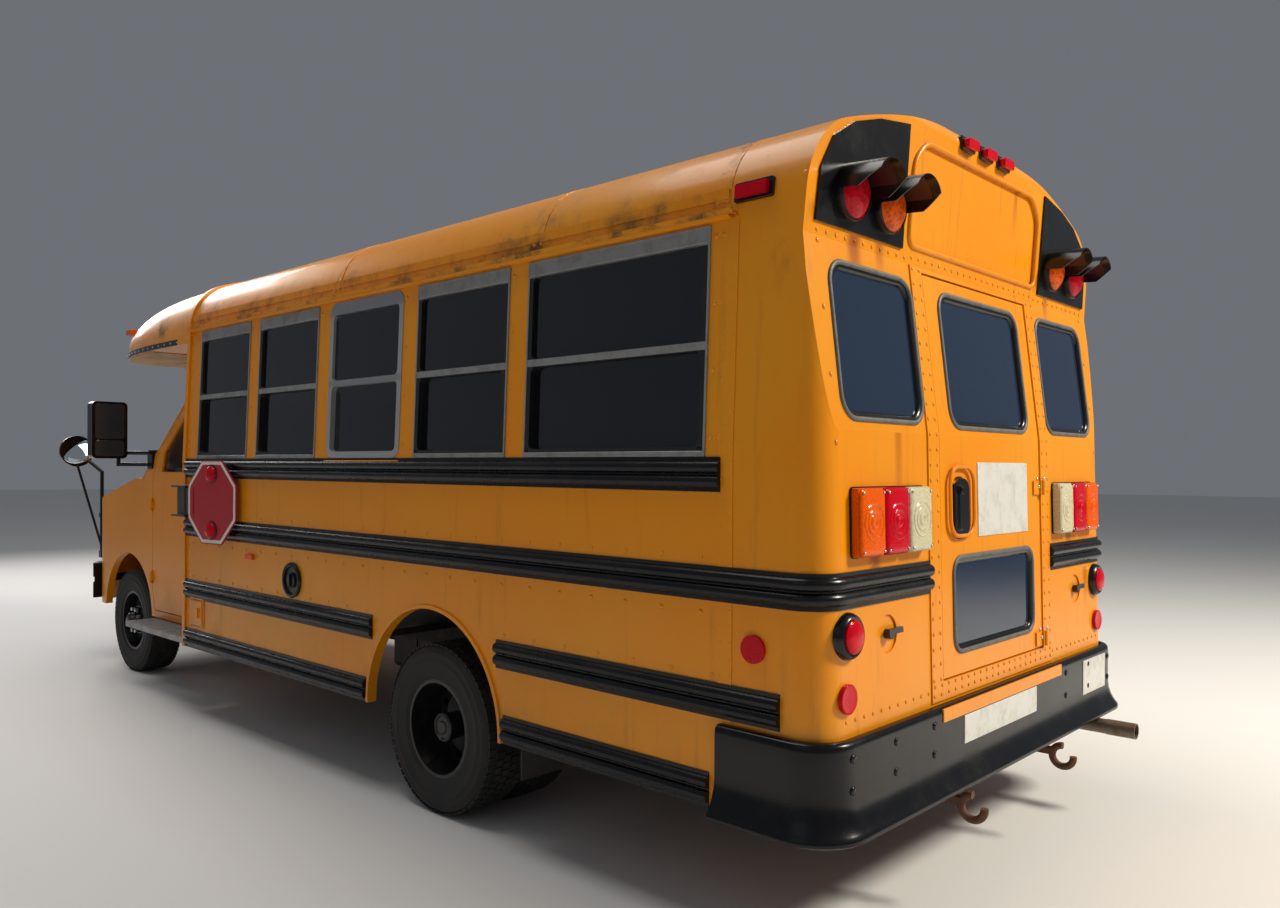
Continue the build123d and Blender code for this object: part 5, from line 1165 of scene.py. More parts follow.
# %% [markdown]
# ## The rear: lamps
# Rays find the leaning rear wall and the boards on it. Each warning lamp gets a black bezel and a
# thin sheet inside its hood, whose dark red or amber is a painted reflection of the lens in painted
# shade. The tail lamps stand on one black tray on each side, a grommet runs round each stop lamp, and
# a black plate backs the marker lamp at the rear of each side wall.

# %% lamp bezels, hood linings and tail lamp trays
BOARDS = Skin("lamp_panels")
LAMP_FACES = Skin("small_lamps")
BEZEL = [
    (0.0855, 0.0), (0.0895, 0.0), (0.0895, 0.022), (0.087, 0.026), (0.0835, 0.026), (0.0835, 0.0),
]
WARNING_LAMPS = ((0.955, RED_LENS), (0.722, AMBER_LENS))
BESIDE_LAMP = 0.0965
TRAY_Y = 0.8165
SIDE_MARKER = (-1.685, 2.372)
HOOD_R = 0.0887
HOOD_DEPTHS = (0.024, 0.118)
HOOD_ARC = (22, 136)
HOOD_STEPS = 24


def hood_reflection_sheet(form, place):
    """A thin sheet under a lamp's hood, coloured as a painted reflection of the lens in painted shade: an
    outer and an inner skin, joined at both edges.
    """
    first, sweep = HOOD_ARC
    bm = form.bm
    arc = [math.radians(first + sweep * i / HOOD_STEPS) for i in range(HOOD_STEPS + 1)]
    band = [(HOOD_R * math.cos(a), HOOD_R * math.sin(a)) for a in arc]
    back, front, inner_back, inner_front = (
        [bm.verts.new(place @ Vector((x * shrink, y * shrink, depth))) for x, y in band]
        for shrink in (1, 0.991)
        for depth in HOOD_DEPTHS
    )
    for i in range(HOOD_STEPS):
        j = i + 1
        bm.faces.new((back[i], back[j], front[j], front[i]))
        bm.faces.new((inner_front[i], inner_front[j], inner_back[j], inner_back[i]))
        bm.faces.new((front[i], front[j], inner_front[j], inner_front[i]))
        bm.faces.new((back[j], back[i], inner_back[i], inner_back[j]))


bezels = Form()
hood_reflections = {RED_LENS: Form(), AMBER_LENS: Form()}
for side in (1, -1):
    for y, finish in WARNING_LAMPS:
        place = rear_seat(side * y + BESIDE_LAMP, WARNING_LAMP_Z, skin=BOARDS)
        place.translation = Vector((place.translation.x, side * y, WARNING_LAMP_Z))
        bezels.lathe(place, BEZEL, 40, loop=True)
        hood_reflection_sheet(hood_reflections[finish], place)
bezels.done("lamp_bezels", "bus", TRIM_BLACK)
# The sheets under the hoods carry a painted reflection of the lenses, in painted shade.
hood_reflections[RED_LENS].done("hood_painted_reflection_red", "bus", RED_PAINTED_REFLECTION_AND_RIM)
hood_reflections[AMBER_LENS].done("hood_painted_reflection_amber", "bus", AMBER_PAINTED_REFLECTION)
trays = Form()
for side in (1, -1):
    trays.plate(rear_seat(side * TRAY_Y, TAIL_LAMP_Z), 0.474, 0.221, 0.006, 0.016)
    y, z = STOP_LAMP
    wall = rear_seat(side * y, z)
    lamp = rear_seat(side * y, z, skin=LAMP_FACES)
    proud = (lamp.translation - wall.translation).length
    grommet = [(0.0525, -0.004), (0.073, -0.004), (0.072, proud * 0.35), (0.067, proud * 0.8)]
    grommet += [(0.060, proud), (0.0525, proud * 0.95)]
    trays.lathe(wall, grommet, 40, loop=True)
    trays.plate(side_seat(side, *SIDE_MARKER), 0.150, 0.064, 0.010, 0.008)
trays.done("lamp_trays", "bus", TRIM_BLACK)
print("lamp trim done")

# %% [markdown]
# ## The rear: plates and handle
# The plates on the door and on the bumper are blank, and a yellow strip runs along the bumper. The
# door's handle is a bar in a black cup with a soft yellow rim, and the three small lamps at the crown
# stand on black bases.

# %% blank plates, bumper strip and door handle
BUMPER = Skin("rear_bumper")
CROWN_LAMP_Z = 2.712
CROWN_LAMPS_Y = (-0.160, 0.0, 0.160)
DOOR_PLATE = (-0.083, 1.388)
DOOR_PLATE_LIFT = 0.0005
BUMPER_PLATES = ((0.05, 0.650, 0.100), (-0.94, 0.280, 0.150))  # y, width and height
BUMPER_PLATE_Z = 0.585
BUMPER_STRIP_Z = 0.662
CUP = (0.300, 1.385)
BAR = (0.318, 1.362)
plates = Form()
plates.plate(rear_seat(*DOOR_PLATE, DOOR_PLATE_LIFT), 0.462, 0.276, 0.003, 0.004)
plates.done("door_plate", "emergency_door", PLATE)
plates = Form()
for y, wide, tall in BUMPER_PLATES:
    plates.plate(rear_seat(y, BUMPER_PLATE_Z, skin=BUMPER), wide, tall, 0.003, 0.004)
plates.done("bumper_plates", "bus", PLATE)
strip = Form()
strip.plate(rear_seat(0.0, BUMPER_STRIP_Z, skin=BUMPER), 1.080, 0.046, 0.004, 0.003)
strip.done("bumper_strip", "bus", BODY_PAINT)
screws = [rear_touch(y, z) for y in (-0.30, 0.135) for z in (1.262, 1.514)]
studs("door_plate_screws", screws, "emergency_door", 0.012, 0.009, BRIGHT_BOLT)
handle, rim = Form(), Form()
rim.hoop(rear_seat(*CUP), 0.205, 0.262, 0.070, 0.014, 0.008, 0.004)
rim.done("handle_rim", "emergency_door", BODY_PAINT)
handle.plate(rear_seat(CUP[0] + 0.002, BAR[1]), 0.118, 0.212, 0.003, 0.045)
handle.plate(rear_seat(*BAR), 0.040, 0.168, 0.034, 0.010, 0.006)
knob = [(0.015, 0.030), (0.015, 0.038), (0.011, 0.042), (0.0, 0.042)]
handle.lathe(rear_seat(BAR[0], BAR[1] + 0.062), knob, 20)
handle.done("door_handle", "emergency_door", TRIM_BLACK)
crown = Form()
for y in CROWN_LAMPS_Y:
    crown.plate(rear_seat(y, CROWN_LAMP_Z, -0.002), 0.112, 0.056, 0.012, 0.014, 0.004)
crown.done("crown_lamp_bases", "bus", TRIM_BLACK)
print("rear trim done")

# %% [markdown]
# ## Seats
# The CAD benches are plain boxes that keep the room for padding. Each pad here is a subdivided box
# with round edges. Its faces are drawn in a little towards their edges, so their middles look full.
# A piped seam runs along the front of each bench's cushion and the top of its backrest.

# %% padded benches and the driver's seat
BENCH_FRONT_X = 1.880
BENCH_PITCH = 0.7405
BENCH_Y = (0.200, 1.150)
CUSHION_Z = (1.130, 1.240)
BACK_TOP_Z = 1.830
DRIVER_PADS = (  # cushion, backrest and headrest: both corners, with x ahead of the rear axle
    ((2.840, 0.170, 1.010), (3.240, 0.670, 1.130)),
    ((2.720, 0.170, 1.010), (2.8397, 0.670, 1.690)),
    ((2.735, 0.290, 1.6903), (2.820, 0.550, 1.860)),
)


def between(low, high, value):
    return max(low, min(high, value))


def pad(form, low, high, round_edge=0.045, crown=0.016, cuts=11):
    """A cushion: a subdivided box, rounded, with its six faces drawn in towards their edges."""
    low, high = Vector(low), Vector(high)
    middle, half = (low + high) / 2, (high - low) / 2
    made = bmesh.ops.create_cube(form.bm, size=2.0)["verts"]
    edges = list({e for v in made for e in v.link_edges})
    bmesh.ops.subdivide_edges(form.bm, edges=edges, cuts=cuts, use_grid_fill=True)
    for v in form.bm.verts:
        if v.tag:
            continue
        v.tag = True
        soft = Vector([between(-1.0, 1.0, c) for c in v.co])
        p = Vector([soft[i] * half[i] for i in range(3)])
        core = Vector([between(round_edge - half[i], half[i] - round_edge, p[i]) for i in range(3)])
        away = p - core
        if away.length > 1e-6:
            p = core + away.normalized() * round_edge
        drawn = Vector((0, 0, 0))
        for i in range(3):
            j, k = (i + 1) % 3, (i + 2) % 3
            bulge = (1 - soft[j] ** 4) * (1 - soft[k] ** 4)
            drawn[i] = (-1 if soft[i] > 0 else 1) * crown * (1 - bulge) * abs(soft[i]) ** 8
        v.co = middle + p + drawn


benches, piping = Form(), Form()
low_z, high_z = CUSHION_Z
for i in range(5):
    x = along(BENCH_FRONT_X - BENCH_PITCH * i)
    for side in (1, -1):
        y0, y1 = sorted(side * y for y in BENCH_Y)
        pad(benches, (x - 0.200, y0, low_z), (x + 0.230, y1, high_z))
        pad(benches, (x - 0.300, y0, low_z), (x - 0.2003, y1, BACK_TOP_Z), 0.042, 0.012)
        for seam_x, seam_z in ((x + 0.2225, high_z - 0.015), (x - 0.206, BACK_TOP_Z - 0.012)):
            piping.tube([(seam_x, y0 + 0.03, seam_z), (seam_x, y1 - 0.03, seam_z)], 0.004, 6)
for low, high in DRIVER_PADS:
    pad(benches, (along(low[0]), *low[1:]), (along(high[0]), *high[1:]), 0.040, 0.012)
cushions = benches.done("seat_pads", "bus", VINYL, 60)
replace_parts(cushions, "seats")
piping.done("seat_piping", "bus", TRIM_BLACK)
print("seats padded:", len(cushions.data.polygons), "faces")

# %% [markdown]
# ## Mirrors
# Each mirror head gets a large flat glass and a small one below it, on the side that faces the
# driver; their dark colour is a painted reflection. The round cross-view mirror ahead of it has a domed
# glass.

# %% mirror glass
HEADS = Skin("mirrors")
MIRROR_HEAD = (1.2, 1.2315, 1.735)
CROSS_VIEW = (3.3, 1.085, 1.600)
DOME_R, DOME_RISE = 0.112, 0.020
DOME = [(DOME_R, -0.002), (DOME_R, 0.002)]
for i in range(1, 8):
    a = math.pi / 2 * i / 8
    DOME.append((DOME_R * math.cos(a), 0.002 + DOME_RISE * math.sin(a)))
DOME.append((0.0, 0.022))
domes, flats = Form(), Form()
for side in (1, -1):
    x, y, z = MIRROR_HEAD
    seat = HEADS.seat((x, side * y, z), FORWARD)
    flats.plate(seat @ Matrix.Translation((0, 0.058, 0)), 0.186, 0.238, 0.0025, 0.020, 0.001)
    flats.plate(seat @ Matrix.Translation((0, -0.124, 0)), 0.186, 0.108, 0.0045, 0.020, 0.002)
    x, y, z = CROSS_VIEW
    domes.lathe(HEADS.seat((x, side * y, z), FORWARD), DOME, 40)
domes.done("mirror_panes", "bus", MIRROR)
# The flat glasses' dark colour is a painted reflection.
flats.done("mirror_flats", "bus", FLAT_MIRROR_PAINTED_DARK)
print("mirror glass on", 2 * len(SIDES), "heads")

# %% [markdown]
# ## Windscreen trim and wipers
# The windscreen leans back, so it has a place of its own, with X across the bus and Y up the glass.
# A black rubber band frames it and two wipers rest on it.

# %% windscreen band and wipers
SCREEN_UP = (-0.7213, 0.6925)
SCREEN_TURN = Matrix(((0, SCREEN_UP[0], SCREEN_UP[1]), (1, 0, 0), (0, SCREEN_UP[1], -SCREEN_UP[0])))
SCREEN = Matrix.Translation((along(3.3625), 0, 1.820)) @ SCREEN_TURN.to_4x4()
band = Form()
band.hoop(SCREEN @ Matrix.Translation((0, 0, -0.010)), 1.640, 1.030, 0.105, 0.052, 0.013)
band.done("windscreen_band", "bus", RUBBER)
wipers = Form()
for y in (0.62, -0.12):
    arm = ((y, -0.545, 0.012), (y - 0.10, -0.40, 0.018), (y - 0.34, -0.30, 0.004))
    blade = ((y - 0.08, -0.40, -0.006), (y - 0.58, -0.22, -0.006))
    wipers.tube([SCREEN @ Vector(p) for p in arm], 0.005, 8)
    wipers.tube([SCREEN @ Vector(p) for p in blade], 0.006, 6)
wipers.done("wipers", "bus", TRIM_BLACK)
print("windscreen framed")

# %% [markdown]
# ## Headlamps
# A black bezel runs round each headlamp, with a bar between the lamps and the turn lamp. Its path is
# cast onto the nose by rays. Two round eyes stand out a little from each lamp's face.

# %% headlamp bezels and eyes
NOSE = Skin("headlamps", "cab_shell")
AHEAD_OF_THE_BUS = 5.0
HEADLAMP = (0.785, 0.960)
EYES_Y = (0.690, 0.792)
EYE = [(0.047, -0.002), (0.047, 0.002), (0.043, 0.005), (0.034, 0.0035), (0.020, 0.007), (0.0, 0.009)]


def nose_touch(y, z):
    return NOSE.touch((AHEAD_OF_THE_BUS, y, z), BACKWARD)[0]


bezels, bulbs = Form(), Form()
lamp_y, lamp_z = HEADLAMP
for side in (1, -1):
    outline = [(side * (lamp_y + u), lamp_z + v) for u, v in rounded(0.326, 0.214, 0.018, 3)]
    corners = outline + outline[:1]
    path = []
    for (y0, z0), (y1, z1) in zip(corners, corners[1:]):
        steps = max(1, round(math.hypot(y1 - y0, z1 - z0) / 0.02))
        for i in range(steps):
            path.append(nose_touch(y0 + (y1 - y0) * i / steps, z0 + (z1 - z0) * i / steps))
    bezels.tube(path, 0.006, 8, loop=True)
    bezels.tube([nose_touch(side * TURN_LAMP_Y, z) for z in (0.856, 0.960, 1.064)], 0.005, 8)
    for y in EYES_Y:
        bulbs.lathe(NOSE.seat((AHEAD_OF_THE_BUS, side * y, lamp_z), BACKWARD), EYE, 36)
bezels.done("headlamp_bezels", "bus", TRIM_BLACK)
bulbs.done("headlamp_eyes", "bus", HEAD_LENS, 25)
print("front trim done")

# %% [markdown]
# ## Gaskets round the rear lights
# Each rear light sits in a rubber gasket: a rounded grey lip on the wall and a black border where
# the pane disappears into it. The CAD seal keeps the room for both. Each of the two is one section,
# given as (inset, lift) pairs, pushed round a rectangle with round corners.

# %% rear gaskets
LIP = (
    (0, -0.002), (0, 0.003), (0.003, 0.0065), (0.008, 0.008), (0.013, 0.0068), (0.017, 0.003),
    (0.018, -0.008), (0.004, -0.008),
)
BORDER = (
    (0.0165, -0.004), (0.0165, 0.002), (0.024, 0.0012), (0.0325, -0.006), (0.0325, -0.017),
    (0.021, -0.017), (0.021, -0.004),
)
LIP_REACH = 0.020
UPPER_SLOPE = math.hypot(STEP_Z - CREASE_Z, 0.0735) / (STEP_Z - CREASE_Z)
UPPER_PART = (1.622, 2.213)
LOWER_PART = (0.5, 1.6)
LIGHTS = [  # body, y, z, width, height up the slope, corner, and the part of the wall it sits in
    ("bus", 0.812, 1.9025, 0.498, 0.471 * UPPER_SLOPE, 0.065, UPPER_PART),
    ("bus", -0.812, 1.9025, 0.498, 0.471 * UPPER_SLOPE, 0.065, UPPER_PART),
    ("emergency_door", 0.0, 1.895, 0.670, 0.466 * UPPER_SLOPE, 0.060, UPPER_PART),
    ("emergency_door", 0.0, 1.0145, 0.692, 0.315, 0.048, LOWER_PART),
]


def tilted_seat(y, z, part):
    """A place on the rear's straight slope between two heights, for a frame over an opening."""
    low, high = (Vector((rear_x(end), 0, end)) for end in part)
    up = (high - low).normalized()
    spot = low + (high - low) * ((z - part[0]) / (part[1] - part[0])) + Vector((0, y, 0))
    return facing(spot, up, Vector((-up.z, 0, up.x)))


for body, lips_name, border_name, node in (
    ("bus", "side_light_gaskets", "side_light_borders", "rear_seals"),
    ("emergency_door", "door_light_gaskets", "door_light_borders", "emergency_seals"),
):
    lips, borders = Form(), Form()
    for owner, y, z, wide, tall, corner, part in LIGHTS:
        if owner != body:
            continue
        place = tilted_seat(y, z, part)
        full = (wide + 2 * LIP_REACH, tall + 2 * LIP_REACH, corner + LIP_REACH)
        for form, profile in ((lips, LIP), (borders, BORDER)):
            rings = [(shrunk(*full, inset, 8), lift) for inset, lift in profile]
            form.stack(place, rings, caps=False, loop=True)
    lip = lips.done(lips_name, body, SEAL, 60)
    borders.done(border_name, body, TRIM_BLACK, 50)
    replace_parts(lip, node)
print("gaskets on", len(LIGHTS), "lights")

# %% [markdown]
# ## Square trim on the side windows
# Four of the five side windows wear a thin square-cornered aluminium trim with a broad header strip.
# The third one is the push-out window and keeps its own round-cornered bright frame.

# %% side window trim
SASHES = [(WINDOW_FRONT - WINDOW_PITCH * i, WINDOW_WIDE) for i in range(4)]
SASHES.append((WINDOW_FRONT - WINDOW_PITCH * 4, LAST_WINDOW_WIDE))
PUSH_OUT = 2
trim, corners_black = Form(), Form()
z = (BELT_Z + WINDOW_TOP_Z) / 2
tall = (WINDOW_TOP_Z - BELT_Z) * math.hypot(1, TUMBLE)
for side in (1, -1):
    out = Vector((0, side, TUMBLE)).normalized()
    up = Vector((0, -side * TUMBLE, 1)).normalized()
    for i, (front_x, wide) in enumerate(SASHES):
        if i == PUSH_OUT:
            continue
        place = facing((along(front_x - wide / 2), side * wall_y(z), z), up, out)
        trim.hoop(place, wide + 0.014, tall + 0.014, 0.003, 0.0085, 0.0068, 0.001)
        for rise, narrower, high, thick in (  # header strip, the line under it and the sill strip
            (tall / 2 - 0.022, 0.002, 0.044, 0.0063),
            (tall / 2 - 0.046, 0.012, 0.006, 0.0072),
            (-tall / 2 + 0.006, 0.002, 0.011, 0.0075),
        ):
            level = place @ Matrix.Translation((0, rise, 0))
            trim.plate(level, wide - narrower, high, thick, 0.002)
        for end in (-1, 1):
            spot = Matrix.Translation((end * (wide / 2 - 0.012), -tall / 2 + 0.014, 0))
            corners_black.plate(place @ spot, 0.026, 0.028, 0.0060, 0.002, sink=0.004)
trim.done("side_window_trim", "bus", DULL_ALUMINIUM)
corners_black.done("side_window_corners", "bus", TRIM_BLACK)
print("trim on", 2 * (len(SASHES) - 1), "windows")

# %% [markdown]
# ## Drip rails and the roof's edge
# Above the windows a rolled drip rail carries rain past them, and higher up the roof sheet laps over
# the wall sheet along a flat strip. The drip rail is one section pushed along the bus, and the strip
# is laid on the wall by rays.

# %% drip rails and roof edge strips
DRIP_SECTION = [
    (-0.002, -0.016), (0.018, -0.015), (0.025, -0.010), (0.027, -0.002), (0.0265, 0.006),
    (0.022, 0.006), (0.021, -0.003), (0.016, -0.007), (-0.002, -0.006),
]
DRIP_Z = 2.312
LAP_ENDS = ((-1.585, 2.378), (2.497, 2.378))
rails, laps = Form(), Form()
for side, skin in SIDES:
    wall = wall_y(DRIP_Z)
    place = Matrix(((0, 0, 1, 0), (side, 0, 0, side * wall), (0, 1, 0, DRIP_Z), (0, 0, 0, 1)))
    rails.stack(place, [(DRIP_SECTION, along(x)) for x in (-1.60, -0.5, 0.6, 1.7, 2.497)])
    near_y, far_y = sorted((side * (wall - 0.004), side * (wall + 0.026)))
    rails.block((along(2.474), near_y, 2.276), (along(2.500), far_y, 2.320), 0.005)
    for run in side_line(skin, side, *LAP_ENDS, 0.2):
        laps.strap(run, UP, 0.034, 0.0060)
rails.done("drip_rails", "bus", CAB_PAINT)
laps.done("roof_edge_strips", "bus", ROOF_PAINT)
print("drip rails at", round(wall_y(DRIP_Z), 3))

# %% [markdown]
# ## The sign field over the door
# The rear wall is pressed in a little over the door, and a rounded bead runs round that field. The
# field itself stays blank. A path with rounded corners gives the bead its line.

# %% bead round the sign field
def rounded_path(corners, radius, steps=5):
    """A closed path through corners (y, z) whose corners are eased by quadratic arcs."""
    path = []
    count = len(corners)
    for i, here in enumerate(corners):
        here = Vector(here)
        before, after = Vector(corners[i - 1]), Vector(corners[(i + 1) % count])
        start = here + (before - here).normalized() * radius
        end = here + (after - here).normalized() * radius
        for k in range(steps + 1):
            t = k / steps
            path.append(start * (1 - t) ** 2 + here * 2 * t * (1 - t) + end * t ** 2)
    return path


FIELD = [(0.552, 2.279), (0.552, 2.566), (0.474, 2.647), (-0.474, 2.647), (-0.552, 2.566), (-0.552, 2.279)]
field_path = rounded_path(FIELD, 0.045)
bead = Form()
bead.tube([(rear_x(p.y) - 0.001, p.x, p.y) for p in field_path], 0.0105, 8, loop=True)
bead.done("sign_field_bead", "bus", BODY_PAINT, 60)
print("bead points", len(field_path))

# %% [markdown]
# ## Lenses that stand out
# Each third of a tail lamp is a moulding of its own with a soft edge and a round ripple, held by
# screws at its corners. The stop lamps and the sign's lamps are low domes, the sign's in thin rings,
# and the reflectors below the stop lamps are flat discs with a rim.

# %% tail lamp mouldings, rings and screws
REFLECTOR = (1.090, 0.806)
TAIL_LAMPS_Y = (0.660, 0.817, 0.973)
TAIL_LAMP = (0.147, 0.208, 0.020)
TAIL_STEPS = [(0, -0.004), (0, 0.004), (0.003, 0.0075), (0.008, 0.0100), (0.016, 0.0112)]
RIPPLE_R, RIPPLE_STEPS = 0.062, 13
SCREW_Y, SCREW_Z = 0.061, 0.092
STOP_DOME = [(0.051, -0.004), (0.051, 0.003), (0.045, 0.008), (0.030, 0.012), (0.0, 0.014)]
REFLECTOR_DISC = [
    (0.0455, -0.010), (0.0455, 0.001), (0.042, 0.003), (0.038, 0.0022), (0.010, 0.0026), (0.0, 0.0026),
]
SIGN_DOME = [
    (0.047, -0.001), (0.047, 0.004), (0.043, 0.014), (0.032, 0.022), (0.016, 0.0265), (0.0, 0.0275),
]
SIGN_RING = [(0.046, -0.001), (0.054, -0.001), (0.054, 0.003), (0.050, 0.006), (0.046, 0.006)]
SIGN_LAMP_RISE = 0.158


def ripple():
    """A round wave that rises towards its middle."""
    profile = [(RIPPLE_R, 0.006)]
    for k in range(RIPPLE_STEPS + 1):
        t = k / RIPPLE_STEPS
        wave = 0.0028 * math.sin(k * 1.45) * (1 - 0.4 * t)
        profile.append((RIPPLE_R * (1 - t), 0.0105 + wave + 0.004 * t))
    return profile


mouldings, screws = Form(), []
wide, tall, corner = TAIL_LAMP
for side in (1, -1):
    for y in TAIL_LAMPS_Y:
        seat = rear_seat(side * y, TAIL_LAMP_Z, skin=LAMP_FACES)
        rings = [(rounded(wide - 2 * i, tall - 2 * i, corner, 6), h) for i, h in TAIL_STEPS]
        mouldings.stack(seat, rings)
        mouldings.lathe(seat, ripple(), 40)
        out = seat.to_3x3() @ Vector((0, 0, 1))
        for one in (-SCREW_Y, SCREW_Y):
            for two in (-SCREW_Z, SCREW_Z):
                screws.append((seat @ Vector((one, two, 0.0115)), out))
    for (y, z), profile in ((STOP_LAMP, STOP_DOME), (REFLECTOR, REFLECTOR_DISC)):
        mouldings.lathe(rear_seat(side * y, z, skin=LAMP_FACES), profile, 40)
mouldings.done("lamp_mouldings", "bus", SMALL_LENS, 30)
studs("lamp_screws", screws, "bus", 0.010, 0.006, BRIGHT_BOLT)
sign_lamps, sign_rings = Form(), Form()
turned = Matrix.Rotation(SIGN_TILT, 4, "Z")
for rise in (SIGN_LAMP_RISE, -SIGN_LAMP_RISE):
    for face in (1, -1):
        centre = Vector(SIGN_PIVOT) + turned @ Vector((-SIGN_REACH, face * 0.004, rise))
        out = turned @ Vector((0, face, 0))
        place = Matrix.Translation(centre) @ out.to_track_quat("Z", "Y").to_matrix().to_4x4()
        sign_lamps.lathe(place, SIGN_DOME, 32)
        sign_rings.lathe(place, SIGN_RING, 32, loop=True)
sign_lamps.done("sign_lamps", "stop_arm", RED_LENS, 60)
sign_rings.done("sign_lamp_rings", "stop_arm", RED_PAINTED_REFLECTION_AND_RIM)
print("lamp mouldings done")

# %% [markdown]
# ## The moulded front cap
# The cap over the windscreen is one fibreglass moulding. Its back edge follows the roof's own
# section, tucked inside the front hoop, and the section shrinks and rounds off towards the tip. Two
# short formulas give its half width and its height for every place along it, so it is smooth both
# ways. A black strip with bolts runs along its lower edge, over a tan ribbed ceiling.

# %% front cap, edge strip and ceiling
CAP_BACK, CAP_TIP, CAP_LOW = 2.539, 4.150, 2.240
CAP_EDGE_Y = 1.187
CORNER_R, CORNER_Y = 0.280, 0.9041
CROWN_R, CROWN_MIDDLE_Z = 3.0796, -0.3197
CORNER_END = math.radians(71.16)
RIBS, RIB_PITCH, RIB_HALF = 9, 0.18, 0.012


def arc(y, z, radius, first, last, steps):
    """Points (y, z) on an arc, with both ends."""
    angles = [first + (last - first) * k / steps for k in range(steps + 1)]
    return [(y + radius * math.cos(a), z + radius * math.sin(a)) for a in angles]


def roof_half():
    """One half of the roof's section from the cap's lower edge to the crown, as (y, z)."""
    points = [(1.188, CAP_LOW), (CAP_EDGE_Y, 2.285)]
    points += arc(CORNER_Y, GUTTER_Z, CORNER_R, 0, CORNER_END, 9)
    return points + arc(0, CROWN_MIDDLE_Z, CROWN_R, CORNER_END, math.pi / 2, 7)[1:]


def cap_half_width(f):
    return 0.677 + 0.323 * math.sqrt(max(0.0, 1 - f ** 3.4))


def cap_height(f):
    return 0.25 + 0.75 * max(0.0, 1 - f ** 2.6) ** 0.72


def cap_x(f):
    return along(CAP_BACK + (CAP_TIP - CAP_BACK) * f)


def cap_ring(f):
    """The cap's section at a fraction of its length."""
    half = [(y * cap_half_width(f), CAP_LOW + (z - CAP_LOW) * cap_height(f)) for y, z in roof_half()]
    return half + [(-y, z) for y, z in half[-2::-1]]


PLACES = [math.sin(math.pi / 2 * k / 26) for k in range(27)]
place = Matrix(((0, 0, 1, 0), (1, 0, 0, 0), (0, 1, 0, 0), (0, 0, 0, 1)))
cap = Form()
cap.stack(place, [(cap_ring(f), cap_x(f)) for f in PLACES])
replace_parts(cap.done("roof_cap", "bus", CAP_PAINT, 50), "front_cap")
edge, ceiling, bolts = Form(), Form(), []
for side in (1, -1):
    seats = []
    for f in PLACES[2:24]:
        widening = cap_half_width(min(1.0, f + 0.01)) - cap_half_width(f)
        out = Vector((-widening * CAP_EDGE_Y, side * 0.01 * (CAP_TIP - CAP_BACK), 0)).normalized()
        seats.append((Vector((cap_x(f), side * CAP_EDGE_Y * cap_half_width(f), CAP_LOW + 0.018)), out))
    edge.strap(seats, UP, 0.034, 0.004)
    bolts.append([(p + out * 0.004, out) for p, out in seats])
edge.done("cap_edge_strip", "bus", TRIM_BLACK)
bolt = {"Pitch": 0.095, "Size": (0.011, 0.011, 0.006), "Variation": 0.05, "Finish": BRIGHT_BOLT}
grow(guide("cap_edge_bolts", bolts), RIVET_LINES, "bus", **bolt)
outline = [(cap_x(f), CAP_EDGE_Y * cap_half_width(f) - 0.012) for f in PLACES[7:25]]
ring = outline + [(x, -y) for x, y in outline[::-1]]
ceiling.stack(Matrix.Identity(4), [(ring, CAP_LOW - 0.005), (ring, CAP_LOW + 0.002)])
for k in range(RIBS):
    y = RIB_PITCH * k - 0.72
    front = along(4.02 if abs(y) < 0.6 else 3.90)
    low_corner = (along(2.99), y - RIB_HALF, CAP_LOW - 0.011)
    ceiling.block(low_corner, (front, y + RIB_HALF, CAP_LOW - 0.004), 0.004)
ceiling.done("cap_ceiling", "bus", TAN)
print("cap sections", len(PLACES))

# %% [markdown]
# ## Small things on the sides
# The filler has a deep black ring with a capped neck in it and the hatch is a rounded lid, both on
# the left. A short yellow strip marks the rail below the push-out window on each side.

# %% filler, hatch and rail strips
FILLER_RING = [
    (0.071, 0.0), (0.089, 0.0), (0.091, 0.006), (0.086, 0.013), (0.076, 0.014), (0.071, 0.009),
]
FILLER_NECK = [(0.040, 0.0), (0.040, 0.008), (0.036, 0.012), (0.0, 0.013)]
HATCH = (2.346, 0.626)
RAIL_STRIP = (0.553, 1.524)
RUB_RAILS = Skin("rub_rails")
black, lid, strip = Form(), Form(), Form()
seat = side_seat(1, *FILLER, 0.004)
black.lathe(seat, FILLER_RING, 44, loop=True)
black.lathe(seat, FILLER_NECK, 32)
black.plate(seat @ Matrix.Translation((0, 0, 0.012)), 0.018, 0.064, 0.010, 0.006)
black.done("filler_ring", "bus", TRIM_BLACK)
lid.hoop(side_seat(1, *HATCH), 0.196, 0.176, 0.024, 0.010, 0.006)
lid.plate(side_seat(1, *HATCH), 0.160, 0.140, 0.0105, 0.018)
lid.done("hatch_lid", "bus", BODY_PAINT)
for side in (1, -1):
    x, z = RAIL_STRIP
    seat = RUB_RAILS.seat((along(x), side * 2, z), (0, -side, 0))
    strip.plate(seat, 0.640, 0.017, 0.0025, 0.002)
strip.done("rail_strips", "bus", CAB_PAINT)
print("filler, hatch and strips done")

# %% [markdown]
# ## Treads and hinge bolts
# The running board has raised treads along it. Two bolts show on each leaf of the rear door's two
# hinges: those on the door's leaf ride with the door, the others stay with the wall.

